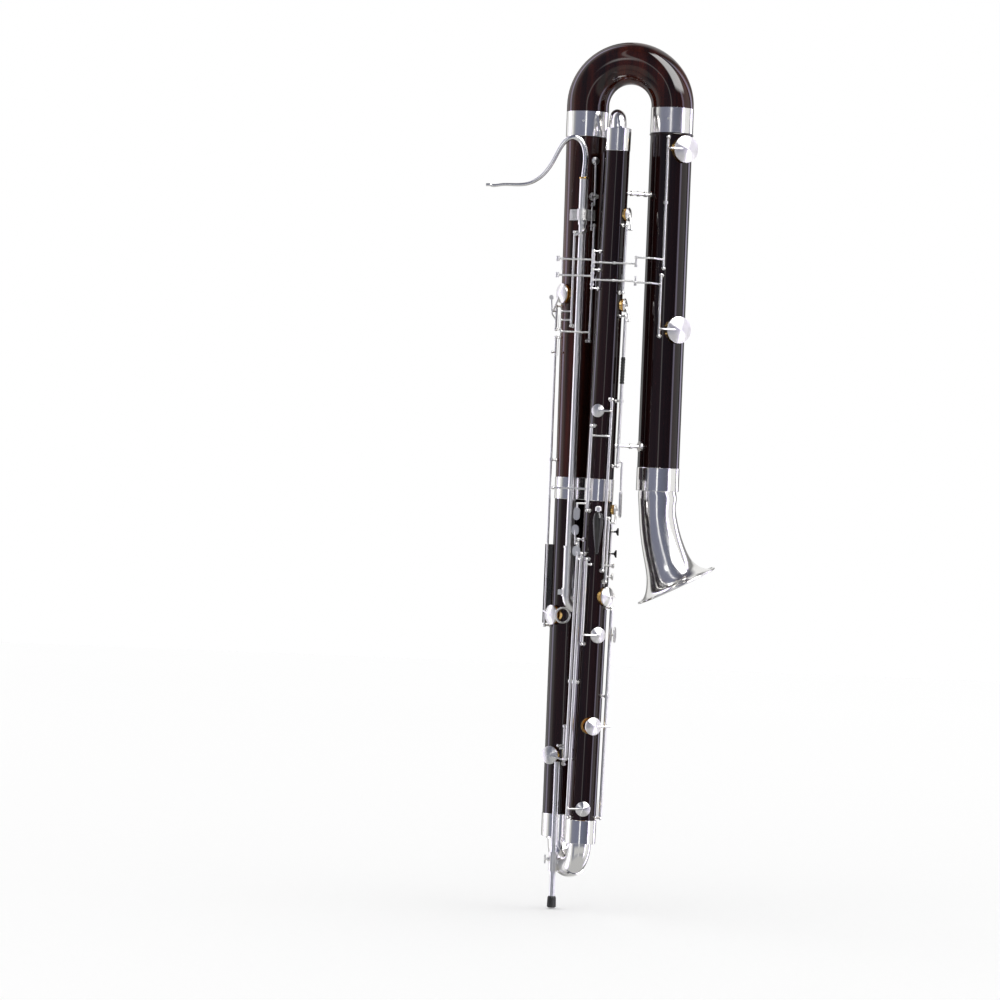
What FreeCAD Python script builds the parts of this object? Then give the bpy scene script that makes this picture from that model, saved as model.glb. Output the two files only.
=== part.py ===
import FreeCAD, Part
import math
import os

from FreeCAD import Vector

# A contrabassoon standing on its endpin. Millimetres. The origin is the endpin's tip, +Z runs up the
# long joint, +X is the bell's side and -Y is the side with the keys.

# ---------------------------------------------------------------- driving dimensions
# Heights. The joints plug together at MIDDLE, so each half has a length of its own.
BOTTOM_BOW_Z = 117.0        # where the bottom bow's two legs turn into its bend
LOWER_LENGTH = 610.0        # from the bottom bow's legs up to the middle joints
UPPER_LENGTH = 666.0        # from the middle joints up to the top bow's legs
MIDDLE = BOTTOM_BOW_Z + LOWER_LENGTH
TOP_BOW_Z = MIDDLE + UPPER_LENGTH

# Key heights are laid out on joints of the drawn length, and spread with a longer or shorter joint.
DRAWN_MIDDLE = 727.0
DRAWN_LOWER = 610.0
DRAWN_UPPER = 666.0

# Places of the tube axes, and how far the front pair leans towards the bell
LONG_X, LONG_Y = 9.0, 41.0
FRONT_X, FRONT_Y = 43.7, -38.0
WING_BACK = 44.0            # the wing joint stands this far behind the front joint
WING_LEFT = 4.5             # and this far to its left
DOWN_X, DOWN_Y = 6.2, -5.0
BELL_JOINT_X, BELL_JOINT_Y = 154.8, 9.0
LEAN = 0.86                 # degrees

# Outside radii of the wooden tubes, bottom and top
LONG_R_LOW, LONG_R_MID, LONG_R_TOP = 30.5, 30.7, 36.0
FRONT_R_LOW, FRONT_R_MID, FRONT_R_TOP = 26.0, 24.2, 20.5
WING_R_LOW, WING_R_TOP = 16.0, 18.0
BELL_JOINT_R = 36.5
TOP_BOW_R = 36.8
LONG_BORE, FRONT_BORE, WING_BORE, BELL_JOINT_BORE, TOP_BOW_BORE = 19.0, 13.0, 7.4, 27.5, 25.0

# Metal tubes
METAL_WALL = 1.2
BOTTOM_BOW_R = 19.4
GUARD_THICK = 1.0           # wear plate under the bottom bow
GUARD_SWEEP = 60.0          # degrees along the bow
GUARD_SPREAD = 52.0         # degrees round the tube, to each side
LONG_LEG_R = 22.0
RETURN_BEND_R = 13.0
DRAIN_BEND_R = 9.0
DRAIN_LEG_R = 7.8
DOWN_R, DOWN_R_LOW, DOWN_BORE = 6.0, 7.3, 4.6
RECEIVER_R = 7.4
SLEEVE_R = 9.4
BELL_RIM_R = 71.9
BELL_WALL = 1.2
BELL_RIM_WIRE_R = 2.1

# Ferrules stand this much proud of the wood, and are this thick
FERRULE_PROUD = 0.8
FERRULE_WALL = 2.2
TENON_LENGTH = 28.0
TENON_WALL = 4.0
CORK = 1.3
NECK_CORK = 2.8             # lapping between the bell's neck and its ferrule
BELL_NECK_R = BELL_JOINT_R + FERRULE_PROUD - FERRULE_WALL - NECK_CORK

# Keywork
PIVOT_R = 1.1               # steel pivot rods
SPRING_R = 0.35
SPRING_SHARE = 0.4          # how far a spring lies from its tube, as a share of the gap to the wood
BALL_R = 3.2                # turned heads of the key posts
STEM_R = 1.6
FOOT_R = 3.4
FOOT_LENGTH = 1.6
ARM_R = 1.7
PAD_THICK = 4.0
PAD_PROUD = 2.2
CUP_RIM = 2.6
RING_PROUD = 1.2            # tone-hole rings above the wood
RING_WALL = 4.2

# Clearances
AIR = 0.3                   # between parts that pass or rest near each other
RUN = 0.05                  # radial, of a turning or sliding fit

# Endpin
ENDPIN_R = 4.7
ENDPIN_LENGTH = 253.0
ENDPIN_TIP_R = 8.0
ENDPIN_TIP_LENGTH = 20.0
SOCKET_LOW, SOCKET_HIGH = 63.0, 96.0
SOCKET_R = 7.8
SCREW_R = 1.6

# Travels, millimetres and degrees
ENDPIN_OUT = 100.0
DRAIN_OUT = 30.0
RECEIVER_UP = 22.0
ROCKER_RANGE = (-4.6, 0.0)
PLAIN_RANGE = {
    "vent_key": (-9.0, 0.0), "vent_rod": (-6.0, 0.0), "thumb_plate_key": (-8.0, 8.0),
    "low_left_rod": (0.0, 7.5),
}
VENT_RANGE = [0.0, 2.3]
VENT_RATIO = -0.367         # vent lever per vent rod
LOW_LEFT_RATIO = -0.8       # low left key per low left rod
THUMB_RATIO = -0.8          # thumb plate key per front high key

UP = Vector(0, 0, 1)


# ---------------------------------------------------------------- small geometry helpers
def height(z):
    """Where a key drawn at height z sits on joints of the present length."""
    if z <= DRAWN_MIDDLE:
        return MIDDLE + (z - DRAWN_MIDDLE) * LOWER_LENGTH / DRAWN_LOWER
    return MIDDLE + (z - DRAWN_MIDDLE) * UPPER_LENGTH / DRAWN_UPPER


def rod(start, end, radius, end_radius=None):
    """A round bar, or a cone where the end has a radius of its own."""
    along = end - start
    if end_radius is None or abs(end_radius - radius) < 1e-9:
        return Part.makeCylinder(radius, along.Length, start, along)
    return Part.makeCone(radius, end_radius, along.Length, start, along)


def pipe(start, end, outer, inner):
    """A straight tube. The bore runs past both ends of the bar that it is cut from."""
    along = end - start
    along.normalize()
    return rod(start, end, outer).cut(rod(start - along, end + along, inner))


def ball(centre, radius):
    return Part.makeSphere(radius, centre)


def end_ball(start, end, radius):
    """The ball on the end of an arm that runs from start to end, its poles along the arm."""
    return Part.makeSphere(radius, end, end - start)


def bar(points, radius):
    """A bent round bar: straight runs with a ball at each corner."""
    pieces = [rod(a, b, radius) for a, b in zip(points, points[1:])]
    pieces += [ball(p, radius) for p in points[1:-1]]
    return merge(pieces)


def merge(shapes):
    return shapes[0].fuse(shapes[1:]) if len(shapes) > 1 else shapes[0]


def turned(profile, base=Vector(0, 0, 0)):
    """A turned solid: (radius, height) pairs spun about the vertical through base."""
    points = [Vector(r, 0, z) for r, z in profile]
    wire = Part.makePolygon(points + points[:1])
    solid = Part.Face(wire).revolve(Vector(0, 0, 0), UP, 360)
    solid.translate(base)
    return solid


def loft(sections, inset=0.0):
    """A smooth solid through circles given as (centre, direction, radius)."""
    wires = []
    for centre, along, radius in sections:
        circle = Part.Circle(centre, along, radius - inset)
        wires.append(Part.Wire(circle.toShape()))
    return Part.makeLoft(wires, True, False)


def side(azimuth):
    """Level direction at an angle from -Y (the key side) towards +X (the bell side)."""
    a = math.radians(azimuth)
    return Vector(math.sin(a), -math.cos(a), 0)


def spin(shape, pivot, axis, angle):
    turned_shape = shape.copy()
    turned_shape.rotate(pivot, axis, angle)
    return turned_shape


class Host:
    """A tube that carries keys: where its axis is, and its outside radius, at any height."""

    def __init__(self, x, y, lean, radii, drawn_radii):
        self.x = x
        self.y = y
        self.lean = lean
        self.radii = radii
        self.drawn = [(z, drawn) for (z, _), drawn in zip(radii, drawn_radii)]

    def centre(self, z):
        return Vector(self.x + math.tan(math.radians(self.lean)) * (z - BOTTOM_BOW_Z), self.y, z)

    def along(self):
        return Vector(math.sin(math.radians(self.lean)), 0, math.cos(math.radians(self.lean)))

    def taper(self, z, radii):
        for (z0, r0), (z1, r1) in zip(radii, radii[1:]):
            if z <= z1:
                share = max(0.0, (z - z0) / (z1 - z0))
                return r0 + (r1 - r0) * share
        return radii[-1][1]

    def radius(self, z):
        return self.taper(z, self.radii)

    def growth(self, z):
        """How much thicker the tube is at z than the tube that the keys were laid out on."""
        return self.radius(z) - self.taper(z, self.drawn)

    def at(self, z, azimuth, distance):
        return self.centre(z) + side(azimuth) * distance

    def envelope(self, low, high, extra=0.0):
        """The tube's outside, filled, between two heights."""
        steps = [low] + [z for z, _ in self.radii if low < z < high] + [high]
        pieces = []
        for z0, z1 in zip(steps, steps[1:]):
            r0 = self.radius(z0) + extra
            r1 = self.radius(z1) + extra
            pieces.append(rod(self.centre(z0), self.centre(z1), r0, r1))
        return merge(pieces)


LONG = Host(LONG_X, LONG_Y, 0.0, [
    (BOTTOM_BOW_Z, LONG_R_LOW), (MIDDLE, LONG_R_MID), (TOP_BOW_Z, LONG_R_TOP)], (30.5, 30.7, 36.0))
FRONT = Host(FRONT_X, FRONT_Y, LEAN, [
    (BOTTOM_BOW_Z, FRONT_R_LOW), (MIDDLE, FRONT_R_MID), (TOP_BOW_Z, FRONT_R_TOP)], (26.0, 24.2, 20.5))
WING = Host(FRONT_X - WING_LEFT, FRONT_Y + WING_BACK, LEAN, [
    (BOTTOM_BOW_Z, WING_R_LOW), (TOP_BOW_Z, WING_R_TOP)], (16.0, 18.0))
BELL_JOINT = Host(BELL_JOINT_X, BELL_JOINT_Y, 0.0, [
    (BOTTOM_BOW_Z, BELL_JOINT_R), (TOP_BOW_Z, BELL_JOINT_R)], (36.5, 36.5))


# ---------------------------------------------------------------- ferrules and wooden tubes
# Ferrule heights, bottom and top edge, on each tube
LONG_FOOT = (BOTTOM_BOW_Z + 4.3, BOTTOM_BOW_Z + 44.0)
LONG_WAIST = (MIDDLE - 19.0, MIDDLE + 19.0)
LONG_HEAD = (TOP_BOW_Z - 55.4, TOP_BOW_Z - 11.4)
FRONT_FOOT = (BOTTOM_BOW_Z + 0.3, BOTTOM_BOW_Z + 40.9)
FRONT_WAIST = (MIDDLE - 20.0, MIDDLE + 18.0)
FRONT_HEAD = (TOP_BOW_Z - 83.4, TOP_BOW_Z - 44.2)
WING_FOOT = (BOTTOM_BOW_Z + 423.0, BOTTOM_BOW_Z + 458.0)
WING_HEAD = FRONT_HEAD
BELL_FOOT = (MIDDLE + 1.0, MIDDLE + 41.0)
BELL_HEAD = (TOP_BOW_Z - 46.3, TOP_BOW_Z - 2.2)

BEAD_HEIGHT = 4.0
BEAD_PROUD = 1.6


def ferrule(host, ends, flange_bore=None, flange_at="low"):
    """A drawn ring over the end of a tube, with a flange where a narrower tube leaves it."""
    low, high = ends
    outer = max(host.radius(low), host.radius(high)) + FERRULE_PROUD
    inner = outer - FERRULE_WALL
    a = host.centre(low)
    b = host.centre(high)
    ring = pipe(a, b, outer, inner)
    if flange_bore is not None:
        along = host.along()
        start = a if flange_at == "low" else b - along * FERRULE_WALL
        plate = pipe(start, start + along * FERRULE_WALL, inner + 0.5, flange_bore)
        ring = merge([ring, plate])
    edges = [e for e in ring.Edges if abs(e.Length - 2 * math.pi * outer) < 0.01]
    return ring.makeChamfer(0.5, edges)


def ferrule_bore(host, ends):
    return max(host.radius(ends[0]), host.radius(ends[1])) + FERRULE_PROUD - FERRULE_WALL


def wood(host, low, high, bore_low, bore_high, necks, tenon=False, socket=None):
    """A turned wooden tube. necks are the (low, high, radius) stretches that ferrules cover."""
    body = host.envelope(low, high)
    for neck_low, neck_high, radius in necks:
        z0, z1 = max(neck_low, low), min(neck_high, high)
        slack = host.along() * (1.0 if z0 <= low else 0.0)
        slack_up = host.along() * (1.0 if z1 >= high else 0.0)
        band = pipe(host.centre(z0) - slack, host.centre(z1) + slack_up, radius + 20, radius)
        body = body.cut(band)
    along = host.along()
    if tenon:
        outer = bore_low + TENON_WALL
        body = merge([body, rod(host.centre(low - TENON_LENGTH), host.centre(low + 1), outer)])
        low = low - TENON_LENGTH
    body = body.cut(rod(host.centre(low) - along, host.centre(high) + along, bore_low, bore_high))
    if socket is not None:
        depth, radius = socket
        body = body.cut(rod(host.centre(high - depth), host.centre(high) + along, radius))
    return body


def cork_ring(host, top, bore):
    """The cork lapping of a tenon, squeezed between the tenon and its socket."""
    inner = bore + TENON_WALL
    return pipe(host.centre(top - TENON_LENGTH + 4), host.centre(top - 5), inner + CORK, inner)


def long_joint_lower():
    foot = (LONG_FOOT[0], LONG_FOOT[1], ferrule_bore(LONG, LONG_FOOT))
    waist = (LONG_WAIST[0], LONG_WAIST[1], ferrule_bore(LONG, LONG_WAIST))
    socket = (TENON_LENGTH + 1.0, LONG_BORE + TENON_WALL + CORK)
    leg_room = rod(LONG.centre(LONG_FOOT[0] - 1), LONG.centre(LONG_FOOT[0] + 20), LONG_LEG_R + RUN)
    body = wood(LONG, LONG_FOOT[0] + FERRULE_WALL, MIDDLE, LONG_BORE, LONG_BORE, [foot, waist],
                socket=socket)
    return body.cut(leg_room)


def long_joint_upper():
    waist = (LONG_WAIST[0], LONG_WAIST[1], ferrule_bore(LONG, LONG_WAIST))
    head = (LONG_HEAD[0], LONG_HEAD[1], ferrule_bore(LONG, LONG_HEAD))
    top = (LONG_HEAD[0] + LONG_HEAD[1]) / 2
    return wood(LONG, MIDDLE, top, LONG_BORE, LONG_BORE, [waist, head], tenon=True)


def front_joint_lower():
    foot = (FRONT_FOOT[0], FRONT_FOOT[1], ferrule_bore(FRONT, FRONT_FOOT))
    waist = (FRONT_WAIST[0], FRONT_WAIST[1], ferrule_bore(FRONT, FRONT_WAIST))
    socket = (TENON_LENGTH + 1.0, FRONT_BORE + TENON_WALL + CORK)
    body = wood(FRONT, FRONT_FOOT[0] + FERRULE_WALL, MIDDLE, FRONT_BORE, FRONT_BORE, [foot, waist],
                socket=socket)
    leg_room = rod(FRONT.centre(FRONT_FOOT[0] - 1), FRONT.centre(FRONT_FOOT[0] + 24),
                   BOTTOM_BOW_R + 0.9)
    return body.cut(leg_room)


def front_joint_upper():
    waist = (FRONT_WAIST[0], FRONT_WAIST[1], ferrule_bore(FRONT, FRONT_WAIST))
    head = (FRONT_HEAD[0], FRONT_HEAD[1], ferrule_bore(FRONT, FRONT_HEAD))
    top = FRONT_HEAD[1] - FERRULE_WALL
    body = wood(FRONT, MIDDLE, top, FRONT_BORE, FRONT_BORE - 2.0, [waist, head], tenon=True)
    return body.cut(rod(FRONT.centre(top - 18), FRONT.centre(top + 1), RETURN_BEND_R + RUN))


def wing_joint():
    foot = (WING_FOOT[0], WING_FOOT[1], ferrule_bore(WING, WING_FOOT))
    head = (WING_HEAD[0], WING_HEAD[1], ferrule_bore(WING, WING_HEAD))
    low = WING_FOOT[0] + FERRULE_WALL
    top = WING_HEAD[1] - FERRULE_WALL
    body = wood(WING, low, top, WING_BORE, WING_BORE + 2, [foot, head])
    leg_room = rod(WING.centre(low - 1), WING.centre(low + 62), DRAIN_LEG_R + RUN)
    body = body.cut(leg_room)
    return body.cut(rod(WING.centre(top - 18), WING.centre(top + 1), RETURN_BEND_R + RUN))


def bell_joint():
    foot = (BELL_FOOT[0], BELL_FOOT[1], ferrule_bore(BELL_JOINT, BELL_FOOT))
    head = (BELL_HEAD[0], BELL_HEAD[1], ferrule_bore(BELL_JOINT, BELL_HEAD))
    low = BELL_FOOT[0] + TENON_LENGTH
    top = (BELL_HEAD[0] + BELL_HEAD[1]) / 2
    body = wood(BELL_JOINT, low, top, BELL_JOINT_BORE, BELL_JOINT_BORE, [foot, head])
    z = BELL_HEAD[0] - BEAD_HEIGHT / 2
    bead_r = BEAD_HEIGHT / 2
    ring = Part.makeTorus(BELL_JOINT_R + BEAD_PROUD - bead_r, bead_r, BELL_JOINT.centre(z), UP)
    return merge([body, ring])


def top_bow():
    """The bent wooden bow: a half ring with a straight leg over the long joint."""
    left = LONG.centre(TOP_BOW_Z)
    right = BELL_JOINT.centre(TOP_BOW_Z)
    middle = (left + right) * 0.5
    across = right - left
    bend_axis = across.cross(UP)
    circle = Part.Wire(Part.Circle(left, UP, TOP_BOW_R).toShape())
    hole = Part.Wire(Part.Circle(left, UP, TOP_BOW_BORE).toShape())
    face = Part.Face([circle, hole])
    half_ring = face.revolve(middle, bend_axis * -1, 180)
    legs = []
    for host, ends in ((LONG, LONG_HEAD), (BELL_JOINT, BELL_HEAD)):
        shoulder = min(ends[1], TOP_BOW_Z)
        joint_z = (ends[0] + ends[1]) / 2
        legs.append(pipe(host.centre(joint_z), host.centre(shoulder), ferrule_bore(host, ends),
                         TOP_BOW_BORE))
        if shoulder < TOP_BOW_Z - 0.01:
            legs.append(pipe(host.centre(shoulder), host.centre(TOP_BOW_Z), TOP_BOW_R, TOP_BOW_BORE))
    return merge([half_ring] + legs)


def ferrules():
    wing_foot = ferrule(WING, WING_FOOT, DRAIN_LEG_R + RUN, "low")
    return [
        ferrule(LONG, LONG_FOOT, LONG_LEG_R + RUN, "low"),
        ferrule(LONG, LONG_WAIST),
        ferrule(LONG, LONG_HEAD),
        ferrule(FRONT, FRONT_FOOT, BOTTOM_BOW_R + 0.9, "low"),
        ferrule(FRONT, FRONT_WAIST),
        ferrule(FRONT, FRONT_HEAD, RETURN_BEND_R + 1.4, "high"),
        wing_foot,
        ferrule(WING, WING_HEAD, RETURN_BEND_R + 1.4, "high"),
        ferrule(BELL_JOINT, BELL_FOOT, BELL_NECK_R + RUN, "low"),
        ferrule(BELL_JOINT, BELL_HEAD),
    ]


def tenon_corks():
    neck_cork = pipe(BELL_JOINT.centre(BELL_FOOT[0] + 4), BELL_JOINT.centre(BELL_FOOT[0] + 24),
                     ferrule_bore(BELL_JOINT, BELL_FOOT), BELL_NECK_R + RUN)
    return [cork_ring(LONG, MIDDLE, LONG_BORE), cork_ring(FRONT, MIDDLE, FRONT_BORE), neck_cork]


# ---------------------------------------------------------------- metal bends and the bell
def half_bend(left, right, radius, wall, turn_up):
    """A half ring of tube between two level points."""
    start, end = (right, left) if turn_up else (left, right)
    middle = (left + right) * 0.5
    axis = (right - left).cross(UP)
    axis.normalize()
    solids = []
    for r in (radius, radius - wall):
        disc = Part.Face(Part.Wire(Part.Circle(start, UP, r).toShape()))
        solids.append(disc.revolve(middle, axis, 180))
    return solids[0].cut(solids[1])


def bottom_bow():
    left = LONG.centre(BOTTOM_BOW_Z)
    right = FRONT.centre(BOTTOM_BOW_Z)
    bend = half_bend(left, right, BOTTOM_BOW_R, METAL_WALL, False)
    long_leg = pipe(left, LONG.centre(LONG_FOOT[0] + 18), BOTTOM_BOW_R, BOTTOM_BOW_R - METAL_WALL)
    collar = pipe(left, LONG.centre(LONG_FOOT[0] + 18), LONG_LEG_R, BOTTOM_BOW_R - METAL_WALL)
    front_leg = pipe(right, right + UP * 18, BOTTOM_BOW_R, BOTTOM_BOW_R - METAL_WALL)
    return merge([bend, long_leg, collar, front_leg])


def bow_guard():
    """The wear plate soldered round the bottom of the bow."""
    left = LONG.centre(BOTTOM_BOW_Z)
    right = FRONT.centre(BOTTOM_BOW_Z)
    middle = (left + right) * 0.5
    across = right - left
    axis = across.cross(UP)
    bow_r = across.Length / 2
    low = middle - UP * bow_r
    across.normalize()
    side_way = across.cross(UP)
    outline = []
    for radius, senses in ((BOTTOM_BOW_R + GUARD_THICK, (-1, 0, 1)), (BOTTOM_BOW_R, (1, 0, -1))):
        for sense in senses:
            angle = math.radians(GUARD_SPREAD * sense)
            outline.append(low + side_way * (radius * math.sin(angle)) - UP * (radius * math.cos(angle)))
    edges = [Part.Arc(outline[0], outline[1], outline[2]).toShape(),
             Part.LineSegment(outline[2], outline[3]).toShape(),
             Part.Arc(outline[3], outline[4], outline[5]).toShape(),
             Part.LineSegment(outline[5], outline[0]).toShape()]
    shell = Part.Face(Part.Wire(edges)).revolve(middle, axis, GUARD_SWEEP)
    return spin(shell, middle, axis, -GUARD_SWEEP / 2)


def top_return_bend():
    left = WING.centre(WING_HEAD[1])
    right = FRONT.centre(FRONT_HEAD[1])
    bend = half_bend(left, right, RETURN_BEND_R, METAL_WALL, True)
    legs = []
    for host in (WING, FRONT):
        top = host.centre(FRONT_HEAD[1])
        legs.append(pipe(top - UP * 14, top, RETURN_BEND_R - 0.5, RETURN_BEND_R - METAL_WALL))
    return merge([bend] + legs)


DRAIN_Z = WING_FOOT[0]
SLEEVE_LOW = DRAIN_Z + 14.0
SLEEVE_HIGH = SLEEVE_LOW + 73.0
COLLAR_R = 11.0
RING_R = 12.7               # the drain bend's finger ring
RING_WIRE_R = 1.8
RING_ANGLE = math.radians(50)


def drain_bend():
    """The pull slide under the wing joint, with the ring that a finger pulls it by."""
    left = Vector(DOWN_X, DOWN_Y, DRAIN_Z - AIR)
    right = WING.centre(DRAIN_Z)
    right.z = DRAIN_Z - AIR
    bend = half_bend(left, right, DRAIN_BEND_R, DRAIN_BEND_R - DRAIN_LEG_R + 0.6, False)
    bore = DRAIN_LEG_R - 0.8
    left_leg = pipe(left - UP, left + UP * 66, DRAIN_LEG_R, bore)
    slim = DRAIN_LEG_R - 0.9
    right_leg = pipe(right - UP, right + UP * 38, slim, slim - 0.8)
    shoulder = pipe(right - UP, right, DRAIN_LEG_R + 0.4, slim - 0.8)
    bend = merge([bend, left_leg, right_leg, shoulder])
    radius = (right - left).Length / 2
    across = right - left
    across.normalize()
    around = across.cross(UP)
    middle = (left + right) * 0.5
    out = across * -math.cos(RING_ANGLE) - UP * math.sin(RING_ANGLE)
    lug_start = middle + out * (radius + DRAIN_BEND_R - 0.6)
    ring = Part.makeTorus(RING_R, RING_WIRE_R, drain_ring_centre(), around)
    return merge([bend, ring, rod(lug_start - out, lug_start + out * 1.4, 2.2)])


def drain_ring_centre():
    """The middle of the drain bend's finger ring."""
    left = Vector(DOWN_X, DOWN_Y, DRAIN_Z - AIR)
    right = WING.centre(DRAIN_Z)
    right.z = DRAIN_Z - AIR
    across = right - left
    radius = across.Length / 2
    across.normalize()
    out = across * -math.cos(RING_ANGLE) - UP * math.sin(RING_ANGLE)
    return (left + right) * 0.5 + out * (radius + DRAIN_BEND_R + 0.8 + RING_R)


def downtube():
    top = height(1240)
    flare = height(800)
    low = SLEEVE_HIGH - 6.0
    a = Vector(DOWN_X, DOWN_Y, top)
    b = Vector(DOWN_X, DOWN_Y, flare)
    c = Vector(DOWN_X, DOWN_Y, SLEEVE_HIGH + 20)
    d = Vector(DOWN_X, DOWN_Y, low)
    whole = merge([rod(b, a, DOWN_R), rod(c, b, DOWN_R_LOW, DOWN_R), rod(d, c, DOWN_R_LOW)])
    return whole.cut(rod(d - UP, a + UP, DOWN_BORE))


def downtube_sleeve():
    low = Vector(DOWN_X, DOWN_Y, DRAIN_Z)
    high = Vector(DOWN_X, DOWN_Y, SLEEVE_HIGH)
    tube = rod(Vector(DOWN_X, DOWN_Y, SLEEVE_LOW - 1), high, SLEEVE_R)
    collar = rod(low, Vector(DOWN_X, DOWN_Y, SLEEVE_LOW), COLLAR_R)
    bead = rod(high - UP * 3, high, SLEEVE_R + 1)
    back = LONG_Y - LONG.radius(DRAIN_Z) + 2
    lug = Part.makeBox(6, back - DOWN_Y, 8, Vector(DOWN_X - 3, DOWN_Y, DRAIN_Z + 3))
    ear = Part.makeBox(9, 3.2, 9, Vector(DOWN_X - COLLAR_R - 6, DOWN_Y - 5, DRAIN_Z + 2.5))
    whole = merge([tube, collar, bead, lug, ear])
    whole = whole.cut(LONG.envelope(DRAIN_Z - 5, DRAIN_Z + 20))
    whole = whole.cut(rod(low - UP, high - UP * 8, DRAIN_LEG_R + RUN))
    return whole.cut(rod(high - UP * 9, high + UP, DOWN_R_LOW))


BELL_ARC = [
    # drop below the neck, shift towards +X, tilt in degrees, radius
    (0.0, 0.0, 0.0, BELL_NECK_R),
    (28.0, 1.0, 4.0, BELL_NECK_R - 0.1),
    (55.0, 4.1, 9.0, 33.0),
    (80.0, 9.1, 13.5, 34.7),
    (103.0, 15.4, 17.5, 36.7),
    (121.0, 21.5, 20.0, 39.0),
    (133.0, 26.1, 22.0, 42.0),
    (142.0, 29.9, 23.5, 46.0),
    (151.5, 34.2, 25.5, 52.5),
    (158.8, 37.8, 27.0, 61.5),
    (163.0, 40.0, 27.4, BELL_RIM_R),
]


def bell():
    """The drawn metal bell, its neck inside the bell joint's foot ferrule and its rim rolled on wire."""
    neck = BELL_JOINT.centre(BELL_FOOT[0])
    sections = []
    for drop, shift, tilt, radius in BELL_ARC:
        a = math.radians(tilt)
        centre = neck + Vector(shift, 0, -drop)
        sections.append((centre, Vector(-math.sin(a), 0, math.cos(a)), radius))
    skin = loft(sections)
    last, along, radius = sections[-1]
    overrun = list(sections)
    overrun[0] = (neck + UP * 0.5, UP, BELL_NECK_R)
    overrun[-1] = (last - along * 0.6, along, radius + 1.0)
    hollow = loft(overrun, BELL_WALL)
    shell = skin.cut(hollow)
    top = neck + UP * (TENON_LENGTH - 2)
    spigot = pipe(neck, top, BELL_NECK_R, BELL_NECK_R - BELL_WALL)
    rim = Part.makeTorus(radius - 0.6, BELL_RIM_WIRE_R, last + along * 0.8, along)
    return merge([shell, spigot, rim])


# ---------------------------------------------------------------- receiver, bocal and endpin
RECEIVER_LOW = height(1183)
RECEIVER_HIGH = height(1262)
BRACKET_LOW = height(1191)
BRACKET_HIGH = BRACKET_LOW + 19.0
BOCAL_SOCKET_R = 5.3


def receiver():
    low = Vector(DOWN_X, DOWN_Y, RECEIVER_LOW)
    high = Vector(DOWN_X, DOWN_Y, RECEIVER_HIGH)
    sleeve = rod(low, high, RECEIVER_R)
    seat = high - UP * 20
    sleeve = sleeve.cut(rod(low - UP, seat, DOWN_R + RUN))
    return sleeve.cut(rod(seat - UP, high + UP, BOCAL_SOCKET_R))


def receiver_ring():
    low = Vector(DOWN_X, DOWN_Y, RECEIVER_HIGH)
    ring = pipe(low, low + UP * 3.2, RECEIVER_R + 0.9, BOCAL_SOCKET_R)
    edges = [e for e in ring.Edges if abs(e.Length - 2 * math.pi * (RECEIVER_R + 0.9)) < 0.01]
    return ring.makeFillet(0.9, edges)


BOCAL_PATH = [
    # offset from the receiver's axis, height above its mouth, outside radius
    (0.0, -16.0, 5.2), (0.0, -6.0, 5.2), (0.0, 4.0, 5.2), (0.9, 18.0, 5.0), (1.6, 30.0, 4.9),
    (0.2, 48.0, 4.7), (-7.5, 65.5, 4.5),
    (-20.5, 71.6, 4.3), (-33.0, 66.0, 4.1), (-43.5, 52.0, 3.9), (-57.0, 25.0, 3.7),
    (-68.5, 8.0, 3.5), (-83.0, -5.0, 3.3), (-98.0, -12.0, 3.1), (-119.0, -14.5, 2.9),
    (-145.0, -15.8, 2.65), (-162.0, -16.3, 2.45)]
BOCAL_WALL = 0.9
BOCAL_TIP_R = 2.6           # the straight end that the reed is pushed over
BOCAL_TIP_LENGTH = 7.0
BOCAL_TIP_LAP = 0.3          # how far the straight end laps back over the bent tube


def bocal_sections(inset):
    """Circles square to the bent tube, at each point of its path."""
    points = [Vector(DOWN_X + dx, DOWN_Y, RECEIVER_HIGH + dz) for dx, dz, _ in BOCAL_PATH]
    sections = []
    for i, point in enumerate(points):
        before = points[max(i - 1, 0)]
        after = points[min(i + 1, len(points) - 1)]
        along = after - before
        along.normalize()
        if i < 3:
            along = UP
        sections.append((point, along, BOCAL_PATH[i][2]))
    return [(p, along, r - inset) for p, along, r in sections]


def bocal():
    outer = loft(bocal_sections(0.0))
    inner = bocal_sections(BOCAL_WALL)
    first, last = inner[0], inner[-1]
    inner[0] = (first[0] - first[1], first[1], first[2])
    inner[-1] = (last[0] + last[1], last[1], last[2])
    tip = rod(last[0] - last[1] * BOCAL_TIP_LAP, last[0] + last[1] * BOCAL_TIP_LENGTH, BOCAL_TIP_R)
    tip_bore = rod(last[0] - last[1] * 0.2, last[0] + last[1] * (BOCAL_TIP_LENGTH + 1), last[2])
    return merge([outer, tip]).cut(loft(inner)).cut(tip_bore)


def receiver_bracket():
    """A strap round the receiver with two ears screwed to the long joint."""
    low = Vector(DOWN_X, DOWN_Y, BRACKET_LOW)
    high = Vector(DOWN_X, DOWN_Y, BRACKET_HIGH)
    r = LONG.radius(BRACKET_LOW)
    strap = rod(LONG.centre(BRACKET_LOW), LONG.centre(BRACKET_HIGH), r + 2.4)
    ears = Part.makeBox(44, 40, BRACKET_HIGH - BRACKET_LOW,
                        Vector(DOWN_X - 22, LONG_Y - 45, BRACKET_LOW))
    plate = strap.common(ears)
    hoop = rod(low, high, RECEIVER_R + 2.2)
    whole = plate.fuse(hoop)
    wood_r = LONG.radius(BRACKET_HIGH)
    whole = whole.cut(rod(LONG.centre(BRACKET_LOW - 1), LONG.centre(BRACKET_HIGH + 1), wood_r))
    return whole.cut(rod(low - UP, high + UP, RECEIVER_R + RUN))


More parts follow.
